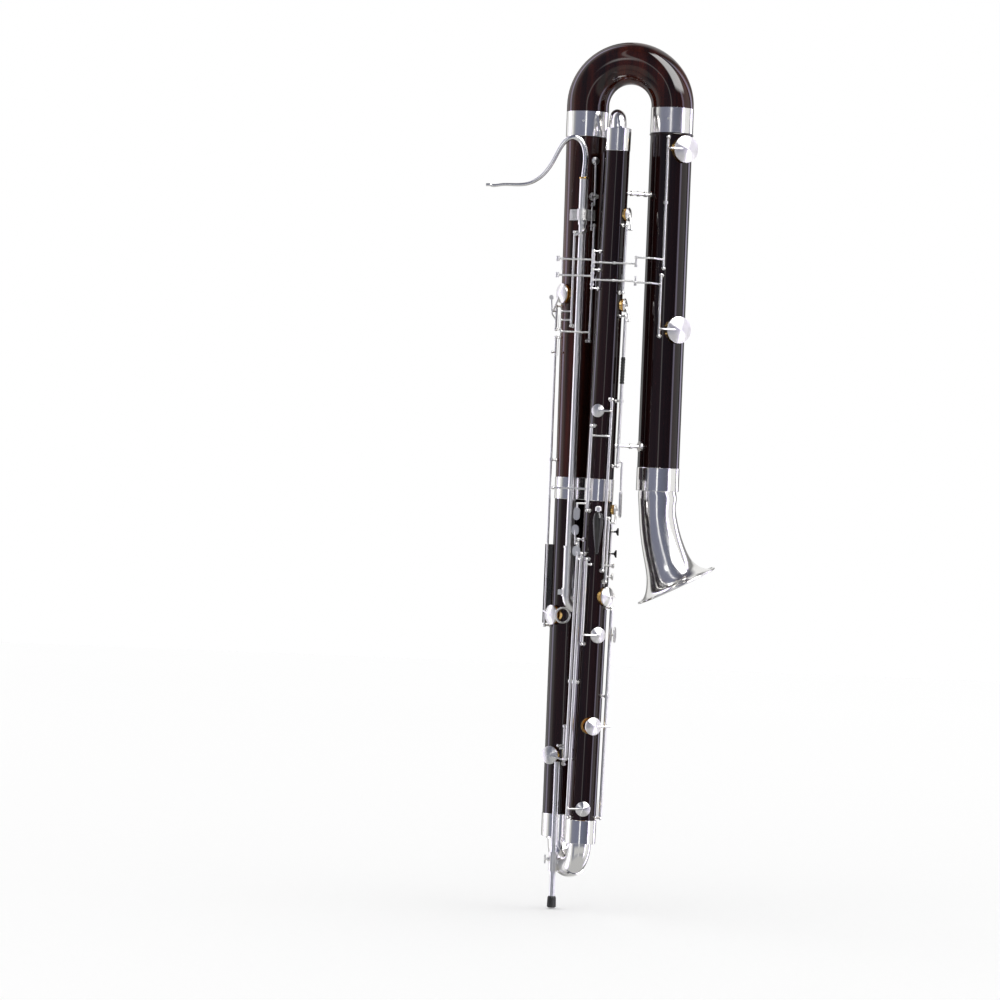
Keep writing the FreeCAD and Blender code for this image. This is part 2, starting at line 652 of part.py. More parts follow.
def endpin():
    low = Vector(0, 0, ENDPIN_TIP_LENGTH - 12)
    high = Vector(0, 0, ENDPIN_LENGTH)
    shaft = rod(low, high, ENDPIN_R)
    top = [e for e in shaft.Edges if e.BoundBox.ZMin > ENDPIN_LENGTH - 0.1 and e.Length > 1]
    shaft = shaft.makeFillet(1.5, top)
    for z in (120.0, 160.0, 200.0, 236.0):
        shaft = shaft.cut(ball(Vector(0, -ENDPIN_R - 0.7, z), 1.8))
    return shaft


def endpin_tip():
    r = ENDPIN_TIP_R
    profile = [(0, 0), (r - 2, 0), (r, 2), (r - 0.6, ENDPIN_TIP_LENGTH - 3),
               (r - 2, ENDPIN_TIP_LENGTH), (ENDPIN_R, ENDPIN_TIP_LENGTH),
               (ENDPIN_R, ENDPIN_TIP_LENGTH - 12), (0, ENDPIN_TIP_LENGTH - 12)]
    return turned(profile)


def endpin_socket():
    low = Vector(0, 0, SOCKET_LOW)
    high = Vector(0, 0, SOCKET_HIGH)
    tube = rod(low, high, SOCKET_R)
    boss_z = (SOCKET_LOW + SOCKET_HIGH) / 2 + 4
    boss = rod(Vector(0, 0, boss_z), Vector(-SOCKET_R - 2.5, 0, boss_z), 3.4)
    middle = (LONG.centre(BOTTOM_BOW_Z) + FRONT.centre(BOTTOM_BOW_Z)) * 0.5
    bow_r = (FRONT.centre(BOTTOM_BOW_Z) - LONG.centre(BOTTOM_BOW_Z)).Length / 2
    web = rod(Vector(0, 0, SOCKET_LOW + 16), Vector(middle.x, middle.y, SOCKET_LOW + 16), 5.0)
    whole = merge([tube, boss, web])
    axis = (FRONT.centre(BOTTOM_BOW_Z) - LONG.centre(BOTTOM_BOW_Z)).cross(UP)
    bow = Part.makeTorus(bow_r, BOTTOM_BOW_R, middle, axis)
    whole = whole.cut(bow)
    whole = whole.cut(rod(low - UP, high + UP, ENDPIN_R + RUN))
    whole = whole.cut(rod(Vector(-ENDPIN_R, 0, boss_z), Vector(-30, 0, boss_z), SCREW_R + RUN))
    solids = sorted(whole.Solids, key=lambda s: s.Volume)
    return solids[-1]


SCREW_Z = (SOCKET_LOW + SOCKET_HIGH) / 2 + 4


def endpin_screw():
    tip = Vector(-ENDPIN_R - AIR, 0, SCREW_Z)
    head = Vector(-SOCKET_R - 5.0, 0, SCREW_Z)
    shank = rod(tip, head, SCREW_R)
    disc = rod(head, head - Vector(3.2, 0, 0), 4.0)
    wing = Part.makeBox(3.0, 2.4, 15, head + Vector(-3.1, -1.2, -7.5))
    return merge([shank, disc, wing])


# ---------------------------------------------------------------- keywork: hinges, posts, rods
class Hinge:
    """A key's pivot: a steel rod between two posts of one host, with the key's tube on it."""

    def __init__(self, host, dx, dy, low, high, tube_r, shared_low=False, spring_low=True):
        self.host = host
        self.low = height(low)
        self.high = height(high)
        drawn = Vector(dx, dy, 0)
        growth = host.growth((self.low + self.high) / 2)
        self.offset = drawn * (1 + growth / drawn.Length)
        self.tube_r = tube_r
        self.shared_low = shared_low
        self.spring_low = spring_low

    def at(self, z):
        return self.host.centre(z) + self.offset

    def axis(self):
        return self.host.along()

    def tube(self):
        gap = BALL_R + AIR
        return rod(self.at(self.low) + self.axis() * gap, self.at(self.high) - self.axis() * gap,
                   self.tube_r)

    def bored(self, key):
        """The finished key, with the running bore through its hinge tube."""
        a = self.at(self.low)
        b = self.at(self.high)
        return key.cut(rod(a, b, PIVOT_R + RUN))

    def pivot_rod(self):
        reach = self.axis() * (BALL_R - 0.6)
        start = self.at(self.low) + (reach if self.shared_low else reach * -1)
        return rod(start, self.at(self.high) + reach, PIVOT_R)

    def post(self, z):
        """A ball-headed post screwed into the wood and drilled for the pivot rod."""
        head = self.at(z)
        inwards = self.host.centre(z) - head
        inwards.z = 0
        distance = inwards.Length
        inwards.normalize()
        surface = self.host.radius(z)
        seat = head + inwards * (distance - surface)
        stem = rod(head, seat + inwards, STEM_R)
        foot = rod(seat - inwards * FOOT_LENGTH, seat + inwards * 1.5, FOOT_R)
        post = merge([ball(head, BALL_R), stem, foot])
        post = post.cut(self.host.envelope(z - 12, z + 12))
        return post.cut(rod(head - self.axis() * 9, head + self.axis() * 9, PIVOT_R))

    def posts(self):
        heights = [self.high] if self.shared_low else [self.low, self.high]
        return [self.post(z) for z in heights]

    def spring(self):
        """The needle spring: a fine wire from one post's stem along the tube's wood side."""
        z = self.low if self.spring_low else self.high
        head = self.at(z)
        inwards = self.host.centre(z) - head
        inwards.z = 0
        distance = inwards.Length
        inwards.normalize()
        gap = distance - self.host.radius(z) - self.tube_r
        depth = self.tube_r + gap * SPRING_SHARE
        along = self.axis() * (1 if self.spring_low else -1)
        start = head + inwards * depth + along * STEM_R
        length = min(30.0, (self.high - self.low) * 0.6)
        return rod(start, start + along * length, SPRING_R)


def key_hinges():
    return {
        "bell_upper_key": Hinge(BELL_JOINT, -7.0, -44.5, 1112, 1338, 2.4),
        "bell_lower_key": Hinge(BELL_JOINT, -10.0, -44.0, 995, 1100, 2.4, spring_low=False),
        "upper_rocker": Hinge(FRONT, -31.8, -14.0, 1104, 1136, 2.8, shared_low=True),
        "lower_rocker": Hinge(FRONT, -31.8, -14.0, 1072, 1104, 2.8),
        "left_high_key": Hinge(LONG, -41.0, -8.0, 1002, 1042, 2.2),
        "vent_key": Hinge(LONG, -15.0, -41.0, 1008, 1170, 2.2),
        "vent_rod": Hinge(LONG, 18.0, -41.0, 983, 1183, 2.3),
        "right_high_key": Hinge(FRONT, 21.3, -22.8, 1066, 1182, 2.2),
        "blade_key": Hinge(FRONT, 28.5, -19.0, 768, 1026, 2.6),
        "front_high_key": Hinge(FRONT, 13.0, -29.0, 588, 882, 2.4),
        "side_cup_key": Hinge(FRONT, 18.8, -25.0, 569, 678, 2.3),
        "thumb_plate_key": Hinge(FRONT, -19.4, -26.0, 690, 836, 2.6),
        "right_low_key": Hinge(FRONT, 24.5, 18.0, 531, 672, 2.4, spring_low=False),
        "middle_front_key": Hinge(FRONT, -16.0, -30.0, 461, 607, 2.8, spring_low=False),
        "right_long_key": Hinge(FRONT, 32.3, -14.0, 162, 524, 2.9),
        "low_front_key": Hinge(FRONT, -24.7, -24.0, 162, 616, 3.0, spring_low=False),
        "low_left_rod": Hinge(FRONT, -31.2, -17.0, 262, 640, 2.8),
        "low_left_key": Hinge(LONG, 2.0, -39.4, 249, 314, 2.3, spring_low=False),
        "left_long_key": Hinge(LONG, -40.0, -8.0, 487, 988, 2.0, spring_low=False),
    }


HINGES = key_hinges()


def cup_base(host, z):
    """How far out the closed pad's face lies, measured from the host's axis."""
    return host.radius(z) + RING_PROUD + AIR


def cup(host, z, azimuth, radius):
    """A key cup: a shallow turned cone over a rim, hollow underneath for its pad."""
    out = side(azimuth)
    base = host.at(z, azimuth, cup_base(host, z) + PAD_PROUD)
    cone_height = 1.5 + radius * 0.2
    rim = rod(base, base + out * CUP_RIM, radius)
    cone = rod(base + out * CUP_RIM, base + out * (CUP_RIM + cone_height), radius - 0.4, 1.4)
    hollow = rod(base - out, base + out * (PAD_THICK - PAD_PROUD), radius - 0.9)
    return merge([rim, cone]).cut(hollow)


def pad(host, z, azimuth, radius):
    out = side(azimuth)
    base = host.at(z, azimuth, cup_base(host, z))
    disc = rod(base, base + out * PAD_THICK, radius - 0.9)
    lip = [e for e in disc.Edges if e.Length > 2 * radius]
    return disc.makeFillet(0.5, lip[:1])


def tone_hole_ring(host, z, azimuth, radius):
    """The raised seat round a tone hole, let into the wood."""
    out = side(azimuth)
    top = host.at(z, azimuth, host.radius(z) + RING_PROUD)
    depth = host.radius(z) - math.sqrt(max(host.radius(z) ** 2 - radius ** 2, 0.0)) + RING_PROUD + 1
    ring = rod(top - out * depth, top, radius).cut(
        rod(top - out * (depth + 1), top + out, radius - RING_WALL))
    return ring.cut(host.envelope(z - radius - 4, z + radius + 4))


def cup_crown(host, z, azimuth, radius):
    """The point on a cup's cone where its arm is soldered."""
    return host.at(z, azimuth, cup_base(host, z) + PAD_PROUD + CUP_RIM + radius * 0.1)


def cup_arm(hinge, z, host, cup_z, azimuth, radius, rise=0.0):
    """An arm from the hinge tube, out as far as the cup's rim (or further by rise), onto its crown."""
    out = side(azimuth)
    root = hinge.at(z)
    crown = cup_crown(host, cup_z, azimuth, radius)
    over_rim = cup_base(host, cup_z) + PAD_PROUD + CUP_RIM + ARM_R
    lift = over_rim - (root - host.centre(z)).dot(out)
    lift = max(lift, rise)
    if lift < 0.5:
        return rod(root, crown, ARM_R + 0.4, ARM_R)
    return bar([root, root + out * lift, crown], ARM_R)


def touch(start, end, radius, thickness=2.4):
    """A mushroom-shaped touch on a stem."""
    along = end - start
    along.normalize()
    return merge([rod(start, end, ARM_R - 0.2),
                  rod(end - along * 2.5, end, ARM_R, radius),
                  rod(end, end + along * thickness, radius)])


def leaf(centre, out, long_half, half_width, thickness=1.6):
    """A flat finger plate, long up and down, rounded at both ends."""
    across = out.cross(UP)
    across.normalize()
    flat = long_half - half_width
    back = centre - out * (thickness / 2)
    ends = [Part.makeCylinder(half_width, thickness, back + UP * s * flat, out) for s in (-1, 1)]
    corner = back - across * half_width - UP * flat
    slab = Part.makePolygon([corner, corner + across * 2 * half_width,
                             corner + across * 2 * half_width + UP * 2 * flat,
                             corner + UP * 2 * flat, corner])
    return merge(ends + [Part.Face(slab).extrude(out * thickness)])


# Cups: key name -> host, height, azimuth, cup radius
CUPS = {
    "bell_upper_key": (BELL_JOINT, height(1318.5), 35.0, 23.0),
    "bell_lower_key": (BELL_JOINT, height(1007), 35.0, 23.0),
    "left_high_key": (LONG, height(1064), -55.0, 17.0),
    "right_high_key": (FRONT, height(1201), 66.0, 11.5),
    "blade_key": (FRONT, height(1045), 76.0, 12.0),
    "front_high_key": (FRONT, height(862), -21.0, 11.0),
    "side_cup_key": (FRONT, height(693), 84.0, 9.5),
    "right_low_key": (FRONT, height(543.5), 52.0, 16.5),
    "middle_front_key": (FRONT, height(477), 22.0, 13.5),
    "right_long_key": (FRONT, height(321), 8.0, 15.0),
    "low_front_key": (FRONT, height(178), 3.0, 12.5),
    "low_left_key": (LONG, height(263), -37.0, 15.5),
    "left_long_key": (LONG, height(506), -50.0, 17.0),
}

# Keys that stand open at rest, and by how many degrees
OPEN_AT_REST = {
    "bell_upper_key": 7.0, "bell_lower_key": 7.0, "right_long_key": 20.0, "left_long_key": 8.0,
    "left_high_key": 6.0, "low_left_key": 6.0,
}
# Keys that rest closed, and how far they open
OPENS = {
    "right_high_key": 8.0, "blade_key": 8.0, "front_high_key": 8.0, "side_cup_key": 8.0,
    "right_low_key": 8.0, "middle_front_key": 8.0, "low_front_key": 8.0,
}


def opening_sense(name):
    """+1 when a turn about the hinge's upward axis lifts the cup off its tone hole."""
    hinge = HINGES[name]
    host, z, azimuth, radius = CUPS[name]
    lever = host.at(z, azimuth, host.radius(z)) - hinge.at(z)
    moves = hinge.axis().cross(lever)
    return 1 if moves.dot(side(azimuth)) > 0 else -1


def rest(name, shape):
    """Turn a key from closed to the way that it stands at rest."""
    if name not in OPEN_AT_REST:
        return shape
    hinge = HINGES[name]
    return spin(shape, hinge.at(hinge.low), hinge.axis(), OPEN_AT_REST[name] * opening_sense(name))


CLEAR_POST = BALL_R + ARM_R + 2.0    # how far an arm stands out to pass its own post


def over_rim(host, z, azimuth, radius, sense):
    """A point just above a cup's rim, on its side towards larger (+1) or smaller (-1) azimuth."""
    out = side(azimuth)
    across = Vector(-out.y, out.x, 0)
    lift = cup_base(host, z) + PAD_PROUD + CUP_RIM + ARM_R + 0.4
    return host.centre(z) + out * lift + across * (sense * (radius + 0.5))


def plain_key(name, arm_z, extra=(), rise=0.0):
    """A hinge tube, a cup, the arm between them and whatever else the key carries."""
    hinge = HINGES[name]
    host, z, azimuth, radius = CUPS[name]
    pieces = [hinge.tube(), cup(host, z, azimuth, radius),
              cup_arm(hinge, arm_z, host, z, azimuth, radius, rise)]
    return hinge.bored(merge(pieces + list(extra)))


LINK_X = 100.0              # where the rockers reach the bell joint's keys
LINK_Y = -66.0
LINK_GAP = 0.7
COLLAR_INSET = 6.5          # of the collars on a rocker's tube from its posts


def bell_key(name, cup_z, link_z):
    """A bell-joint key: its left arm bends forwards, then runs level to its rocker."""
    hinge = HINGES[name]
    y = LINK_Y - 1.5 - LINK_GAP - ARM_R
    root = hinge.at(link_z)
    at_rest = bar([root, Vector(root.x - 17, y, link_z), Vector(LINK_X - 3, y, link_z)], ARM_R)
    back = -OPEN_AT_REST[name] * opening_sense(name)
    return plain_key(name, cup_z, [spin(at_rest, root, hinge.axis(), back)])


def bell_upper_key():
    return bell_key("bell_upper_key", height(1318.5), height(1126.5))


def bell_lower_key():
    return bell_key("bell_lower_key", height(1007), height(1084))


def rocker(name, right_z, left_z, pin_low, pin_high, extra=()):
    """A transverse lever on the front joint's left posts, crossing in front of it to a bell key."""
    hinge = HINGES[name]
    root = hinge.at(right_z)
    right = bar([root, Vector(root.x + 4, LINK_Y, right_z), Vector(LINK_X, LINK_Y, right_z)], ARM_R)
    knuckle = rod(Vector(root.x + 34, LINK_Y, right_z), Vector(root.x + 38, LINK_Y, right_z), ARM_R + 0.8)
    pin = rod(Vector(LINK_X, LINK_Y, pin_low), Vector(LINK_X, LINK_Y, pin_high), 1.5)
    nut_z = pin_low - 0.5
    nut = rod(Vector(LINK_X, LINK_Y, nut_z), Vector(LINK_X, LINK_Y, nut_z + 3), 2.6)
    left_root = hinge.at(left_z)
    left_end = Vector(-34, -42, left_z)
    left = rod(left_root, left_end, ARM_R)
    knob = rod(left_end - UP * 4.5, left_end + UP * 4.5, 3.0)
    pieces = [hinge.tube(), right, knuckle, pin, nut, left, knob]
    for z in (hinge.low + COLLAR_INSET, hinge.high - COLLAR_INSET):
        centre = hinge.at(z)
        collar = rod(centre - hinge.axis() * 1.5, centre + hinge.axis() * 1.5, hinge.tube_r + 0.9)
        screw = rod(centre, centre + side(-20) * (hinge.tube_r + 3.2), 1.2)
        pieces += [collar, screw]
    return hinge.bored(merge(pieces + list(extra)))


def upper_rocker():
    z = height(1116)
    left_z = height(1121)
    share = 8.0 / (HINGES["upper_rocker"].at(left_z).x + 34)
    finger = Vector(-34, -42, left_z) + (HINGES["upper_rocker"].at(left_z) - Vector(-34, -42, left_z)) * share
    pin = rod(finger + Vector(0, 0.2, 0.4), finger + Vector(0, 0.2, -20), 1.2)
    return rocker("upper_rocker", z, left_z, z - 5, height(1126.5) + 3, [pin])


def lower_rocker():
    z = height(1086)
    return rocker("lower_rocker", z, height(1093), z - 7, z + 9)


def left_high_key():
    hinge = HINGES["left_high_key"]
    z = height(1036)
    crown = hinge.at(z)
    wing_root = hinge.at(height(1018))
    wing_end = Vector(crown.x - 9, crown.y - 5, height(1054))
    wing = bar([wing_root, Vector(crown.x - 7, crown.y - 4, height(1028)), wing_end], 1.4)
    plate = rod(wing_end + side(-30) * 0.9 + UP * 3, wing_end - side(-30) * 0.7 + UP * 3, 4.2)
    return plain_key("left_high_key", height(1033), [wing, plate], CLEAR_POST)


def vent_key():
    hinge = HINGES["vent_key"]
    z = height(1163)
    start = hinge.at(z)
    seat = Vector(DOWN_X, DOWN_Y, height(1172))
    out = side(35)
    cap_start = seat + out * (DOWN_R + AIR)
    cap = rod(cap_start, cap_start + out * 3.5, 3.6)
    arm = bar([start, Vector(start.x - 1, DOWN_Y - 12, z), Vector(DOWN_X - 2, DOWN_Y - 16, height(1168)),
               cap_start + out * 2.5], 1.5)
    pieces = [hinge.tube(), arm, cap]
    for drawn in (1033, 1018):
        root = hinge.at(height(drawn))
        end = root + Vector(-17, 11, 0)
        pieces += [rod(root, end, 1.5), end_ball(root, end, 2.6)]
    return hinge.bored(merge(pieces))


def vent_rod():
    hinge = HINGES["vent_rod"]
    z = height(997)
    root = hinge.at(z)
    lever = bar([root, Vector(root.x - 1, -19, z), Vector(-23, -19, z)], 1.6)
    end = end_ball(Vector(0, -19, z), Vector(-23, -19, z), 3.2)
    crank_root = hinge.at(height(1175))
    tail = vent_tail() + side(VENT_AZIMUTH) * (VENT_ARM_R + VENT_CRANK_R + AIR)
    crank_turn = Vector(tail.x, tail.y, crank_root.z)
    crank = bar([crank_root, crank_turn, crank_turn + UP * (tail.z + 4 - crank_root.z)], VENT_CRANK_R)
    return hinge.bored(merge([hinge.tube(), lever, end, crank]))


VENT_AZIMUTH = 24.0
VENT_PIVOT_Z = height(1233)
VENT_CUP_Z = height(1295)
VENT_ARM_R = 1.7
VENT_CRANK_R = 1.4
VENT_REACH = 7.0            # of the lever's pivot from the long joint's wood
VENT_TAIL = 15.0            # from the lever's pivot down to the finger that the vent rod pushes
VENT_OFFSET = 5.8           # of that finger from the vent rod's axis, sideways


def vent_pivot():
    return LONG.at(VENT_PIVOT_Z, VENT_AZIMUTH, LONG.radius(VENT_PIVOT_Z) + VENT_REACH)


def vent_axis():
    out = side(VENT_AZIMUTH)
    return Vector(-out.y, out.x, 0)


def vent_tail():
    """The end of the vent lever's side finger, where the vent rod's crank lies in front of it."""
    return vent_pivot() - UP * VENT_TAIL - vent_axis() * VENT_OFFSET


def vent_lever():
    """A rocking lever above the vent rod, its small cup on the long joint's front."""
    pivot = vent_pivot()
    across = vent_axis()
    out = side(VENT_AZIMUTH)
    hub = rod(pivot - across * 4, pivot + across * 4, 2.4)
    cup_face = LONG.at(VENT_CUP_Z, VENT_AZIMUTH, LONG.radius(VENT_CUP_Z) + RING_PROUD + AIR)
    head = rod(cup_face, cup_face + out * 3, 7.0)
    dome = rod(cup_face + out * 3, cup_face + out * 5, 6.5, 2.0)
    corner = pivot - UP * VENT_TAIL
    arm = bar([vent_tail(), corner, pivot, cup_face + out * 3.2], VENT_ARM_R)
    body = merge([hub, head, dome, arm])
    return body.cut(rod(pivot - across * 9, pivot + across * 9, PIVOT_R + RUN))


def vent_saddle():
    """The forked block that carries the vent lever."""
    pivot = vent_pivot()
    across = vent_axis()
    out = side(VENT_AZIMUTH)
    cheeks = []
    for sense in (-1, 1):
        start = pivot + across * (sense * (4 + AIR))
        cheek = Part.makeCylinder(3.4, 2.2, start, across * sense)
        leg_top = start + across * (sense * 1.1)
        leg = rod(leg_top, leg_top - out * (VENT_REACH + 4), 0.9)
        cheeks += [cheek, leg]
    foot = rod(pivot - out * (VENT_REACH - 1.6), pivot - out * (VENT_REACH + 4), 7.6)
    block = merge(cheeks + [foot])
    block = block.cut(LONG.envelope(VENT_PIVOT_Z - 20, VENT_PIVOT_Z + 20))
    return block.cut(rod(pivot - across * 12, pivot + across * 12, PIVOT_R))


def right_high_key():
    return plain_key("right_high_key", height(1174), rise=CLEAR_POST + 3.0)


def blade_key():
    hinge = HINGES["blade_key"]
    z = height(776)
    root = hinge.at(z)
    low = height(680)
    waist = height(720)
    stem = bar([root, root + Vector(7.5, 0, 0), Vector(root.x + 7.5, root.y, waist)], 1.8)
    blade_out = Vector(1, -0.4, 0)
    blade_out.normalize()
    blade = leaf(Vector(root.x + 7.6, root.y, (low + waist) / 2 + 3), blade_out, 23, 5.5, 2.0)
    return plain_key("blade_key", height(1018), [stem, blade], CLEAR_POST)


def front_high_key():
    hinge = HINGES["front_high_key"]
    partner = HINGES["thumb_plate_key"]
    lever_z = height(819)
    root = hinge.at(lever_z)
    far = partner.at(lever_z) + Vector(2, -partner.tube_r - ARM_R - 1.2, 0)
    lever = bar([root, root + Vector(-5, far.y - root.y, 0), far], ARM_R)
    low_z = height(597)
    low_root = hinge.at(low_z)
    button = touch(low_root, low_root + Vector(16, -4.5, 0), 4.2)
    return plain_key("front_high_key", height(862), [lever, button])


def side_cup_key():
    hinge = HINGES["side_cup_key"]
    root = hinge.at(height(578))
    button = touch(root, root + Vector(10.5, 0, 0), 5.8)
    return plain_key("side_cup_key", height(670), [button], CLEAR_POST)


def thumb_plate_key():
    """The left thumb's key: no cup of its own, a plate, and a long lever to the left."""
    hinge = HINGES["thumb_plate_key"]
    lever_z = height(727)
    root = hinge.at(lever_z)
    lever = rod(root, Vector(-27, -33, lever_z), ARM_R)
    lever_end = end_ball(root, Vector(-27, -33, lever_z), 3.2)
    arm_z = height(702)
    arm_root = hinge.at(arm_z)
    elbow = Vector(15.5, arm_root.y - 1, arm_z)
    plate_centre = Vector(elbow.x, elbow.y, height(684))
    arm = bar([arm_root, elbow, plate_centre + UP * 10], ARM_R)
    plate = leaf(plate_centre, side(-25), 11, 6)
    upper_z = height(819)
    catch = rod(hinge.at(upper_z), hinge.at(upper_z) + Vector(0, -4, 0), 1.4)
    return hinge.bored(merge([hinge.tube(), lever, lever_end, arm, plate, catch]))


def right_low_key():
    """The right thumb's key, its rod behind the front joint's edge and its arm bent round the wood."""
    hinge = HINGES["right_low_key"]
    host, z, azimuth, radius = CUPS["right_low_key"]
    arm_z = height(548)
    bend = host.at(arm_z, 100, host.radius(arm_z) + 10)
    arm = bar([hinge.at(arm_z), bend, over_rim(host, z, azimuth, radius, 1),
               cup_crown(host, z, azimuth, radius)], ARM_R)
    pieces = [hinge.tube(), cup(host, z, azimuth, radius), arm]
    for drawn, reach in ((655, 8.0), (617, 6.5)):
        root = hinge.at(height(drawn))
        end = root + Vector(reach, -13, 0)
        pieces.append(touch(root, end, 1.7, 0.2))
        pieces.append(touch(end - Vector(1.5, 0, 0), end + Vector(3, 0, 0), 6.6))
    return hinge.bored(merge(pieces))


def middle_front_key():
    hinge = HINGES["middle_front_key"]
    z = height(598)
    end = hinge.at(z) + Vector(8, -4.5, 0)
    tail = [rod(hinge.at(z), end, 1.5), end_ball(hinge.at(z), end, 2.8)]
    return plain_key("middle_front_key", height(477), tail)


def right_long_key():
    hinge = HINGES["right_long_key"]
    root = hinge.at(height(500))
    plate_centre = root + Vector(7.5, 1.5, -22)
    plate = rod(plate_centre, plate_centre + Vector(1.8, -1.0, 0), 13.5)
    stalk = rod(hinge.at(plate_centre.z), plate_centre + Vector(0.5, 0, 0), 2.0)
    return plain_key("right_long_key", height(321), [plate, stalk])


def low_front_key():
    hinge = HINGES["low_front_key"]
    z = height(606)
    root = hinge.at(z)
    end = Vector(root.x - 9, root.y - 3, height(620))
    arm = bar([root, Vector(root.x - 6, root.y - 3, z), end], 1.6)
    plate = leaf(end, side(-15), 9, 7)
    return plain_key("low_front_key", height(178), [arm, plate])


def low_left_rod():
    """A long rod that carries a finger's push down to the low left key."""
    hinge = HINGES["low_left_rod"]
    z = height(632)
    root = hinge.at(z)
    end = Vector(root.x - 6, root.y - 3, height(656))
    arm = bar([root, Vector(root.x - 5, root.y - 2, z), end], 1.6)
    plate = leaf(end, side(-30), 9, 7)
    low_z = height(277)
    low_root = hinge.at(low_z)
    partner = HINGES["low_left_key"].at(low_z)
    reach = partner + Vector(-8, -9.5, 0)
    lever = bar([low_root, Vector(low_root.x, reach.y - 4, low_z), reach], ARM_R)
    return hinge.bored(merge([hinge.tube(), arm, plate, lever]))


def low_left_key():
    hinge = HINGES["low_left_key"]
    z = height(281)
    root = hinge.at(z)
    lever = rod(root, root + Vector(-11, -3.5, 0), ARM_R)
    end = end_ball(root, root + Vector(-11, -3.5, 0), 2.6)
    return plain_key("low_left_key", height(258), [lever, end])


def left_long_key():
    hinge = HINGES["left_long_key"]
    z = height(962)
    root = hinge.at(z)
    end = root + Vector(-5, -7, 0)
    tail = [rod(root, end, 1.4), end_ball(root, end, 2.5)]
    return plain_key("left_long_key", height(512), tail)


def key_posts():
    posts = []
    for hinge in HINGES.values():
        posts += hinge.posts()
    return posts + guide_posts() + [vent_saddle()]


def guide_posts():
    """Posts half way along the longest tubes: a ring on a stem, with running clearance."""
    guides = []
    for name, drawn in (("low_front_key", 395), ("low_left_rod", 396), ("left_long_key", 775),
                        ("right_long_key", 372), ("blade_key", 880), ("bell_upper_key", 1225)):
        hinge = HINGES[name]
        z = height(drawn)
        head = hinge.at(z)
        axis = hinge.axis()
        inwards = hinge.host.centre(z) - head
        inwards.z = 0
        distance = inwards.Length
        inwards.normalize()
        seat = head + inwards * (distance - hinge.host.radius(z))
        ring = rod(head - axis * 2.5, head + axis * 2.5, hinge.tube_r + 1.6)
        post = merge([ring, rod(head, seat + inwards, STEM_R),
                      rod(seat - inwards * FOOT_LENGTH, seat + inwards * 1.5, FOOT_R)])
        post = post.cut(hinge.host.envelope(z - 12, z + 12))
        guides.append(post.cut(rod(head - axis * 9, head + axis * 9, hinge.tube_r + RUN)))
    return guides


def pivot_rods():
    rods = [hinge.pivot_rod() for hinge in HINGES.values()]
    pivot = vent_pivot()
    across = vent_axis()
    return rods + [rod(pivot - across * 6.4, pivot + across * 6.4, PIVOT_R)]


def needle_springs():
    return [hinge.spring() for name, hinge in HINGES.items() if not hinge.shared_low]


def tone_hole_rings():
    rings = []
    for host, z, azimuth, radius in CUPS.values():
        rings.append(tone_hole_ring(host, z, azimuth, radius - 1.2))
    rings.append(tone_hole_ring(LONG, VENT_CUP_Z, VENT_AZIMUTH, 5.5))
    return rings


# ---------------------------------------------------------------- fixed fittings
BRACE_R = 3.0


def braces():
    """Two rods that hold the bell joint off the front joint."""
    pieces = []
    for drawn, flange_r in ((1239, 4.6), (803.5, 9.0)):
        z = height(drawn)
        start = FRONT.centre(z)
        end = BELL_JOINT.centre(z)
        along = end - start
        span = along.Length
        along.normalize()
        a = start + along * (FRONT.radius(z) - 3)
        b = end - along * (BELL_JOINT_R - 3)
        body = [rod(a, b, BRACE_R)]
        knuckles = (0.25, 0.5, 0.75) if flange_r < 6 else (0.12, 0.62)
        for share in knuckles:
            c = a + (b - a) * share
            body.append(rod(c - along * 2.2, c + along * 2.2, BRACE_R + 1.5))
        b_face = end - along * (BELL_JOINT_R + 2.4)
        body.append(rod(b_face, b, flange_r))
        a_face = start + along * (FRONT.radius(z) + 2.0)
        body.append(rod(a, a_face, 5.0))
        whole = merge(body)
        whole = whole.cut(FRONT.envelope(z - 20, z + 20))
        whole = whole.cut(BELL_JOINT.envelope(z - 20, z + 20))
        pieces.append(whole)
    return pieces


REST_GAP = 3.0
REST_R = 9.0


def hand_rest():
    """The teardrop that the right hand leans on, with the post that holds it off the wood."""
    low, high = height(616), height(688)
    x = FRONT.centre(high).x
    y = FRONT_Y - FRONT.radius(low) - REST_GAP - REST_R
    length = high - low
    shares = [(1.6, 0.0), (2.6, 0.02), (4.5, 0.2), (6.7, 0.42), (8.2, 0.62), (8.9, 0.74), (REST_R, 0.8),
              (8.7, 0.87), (7.6, 0.93), (5.4, 0.98), (3.0, 1.0)]
    profile = [(0, 0)] + [(r, length * share) for r, share in shares] + [(0, length)]
    drop = turned(profile, Vector(x, y, low))
    post_z = low + length * 0.72
    post = rod(Vector(x, y, post_z), Vector(x, FRONT_Y - FRONT.radius(post_z) + 2, post_z), 4.0)
    foot_y = FRONT_Y - FRONT.radius(post_z)
    foot = rod(Vector(x, foot_y - 2, post_z), Vector(x, foot_y + 2, post_z), 7.0)
    whole = merge([drop, post, foot]).cut(FRONT.envelope(post_z - 20, post_z + 20))
    return whole


def rest_knob_place():
    high = height(688)
    x = FRONT.centre(high).x
    y = FRONT_Y - FRONT.radius(height(616)) - REST_GAP - REST_R
    return Vector(x, y, high)


def hand_rest_knob():
    """The knurled knob on top of the hand rest."""
    foot = rest_knob_place() + UP * AIR
    stem = rod(foot, foot + UP * 3, 2.4)
    body = rod(foot + UP * 2.0, foot + UP * 8.5, 5.6)
    crown = rod(foot + UP * 8.5, foot + UP * 10.5, 5.0, 2.5)
    return merge([stem, body, crown])


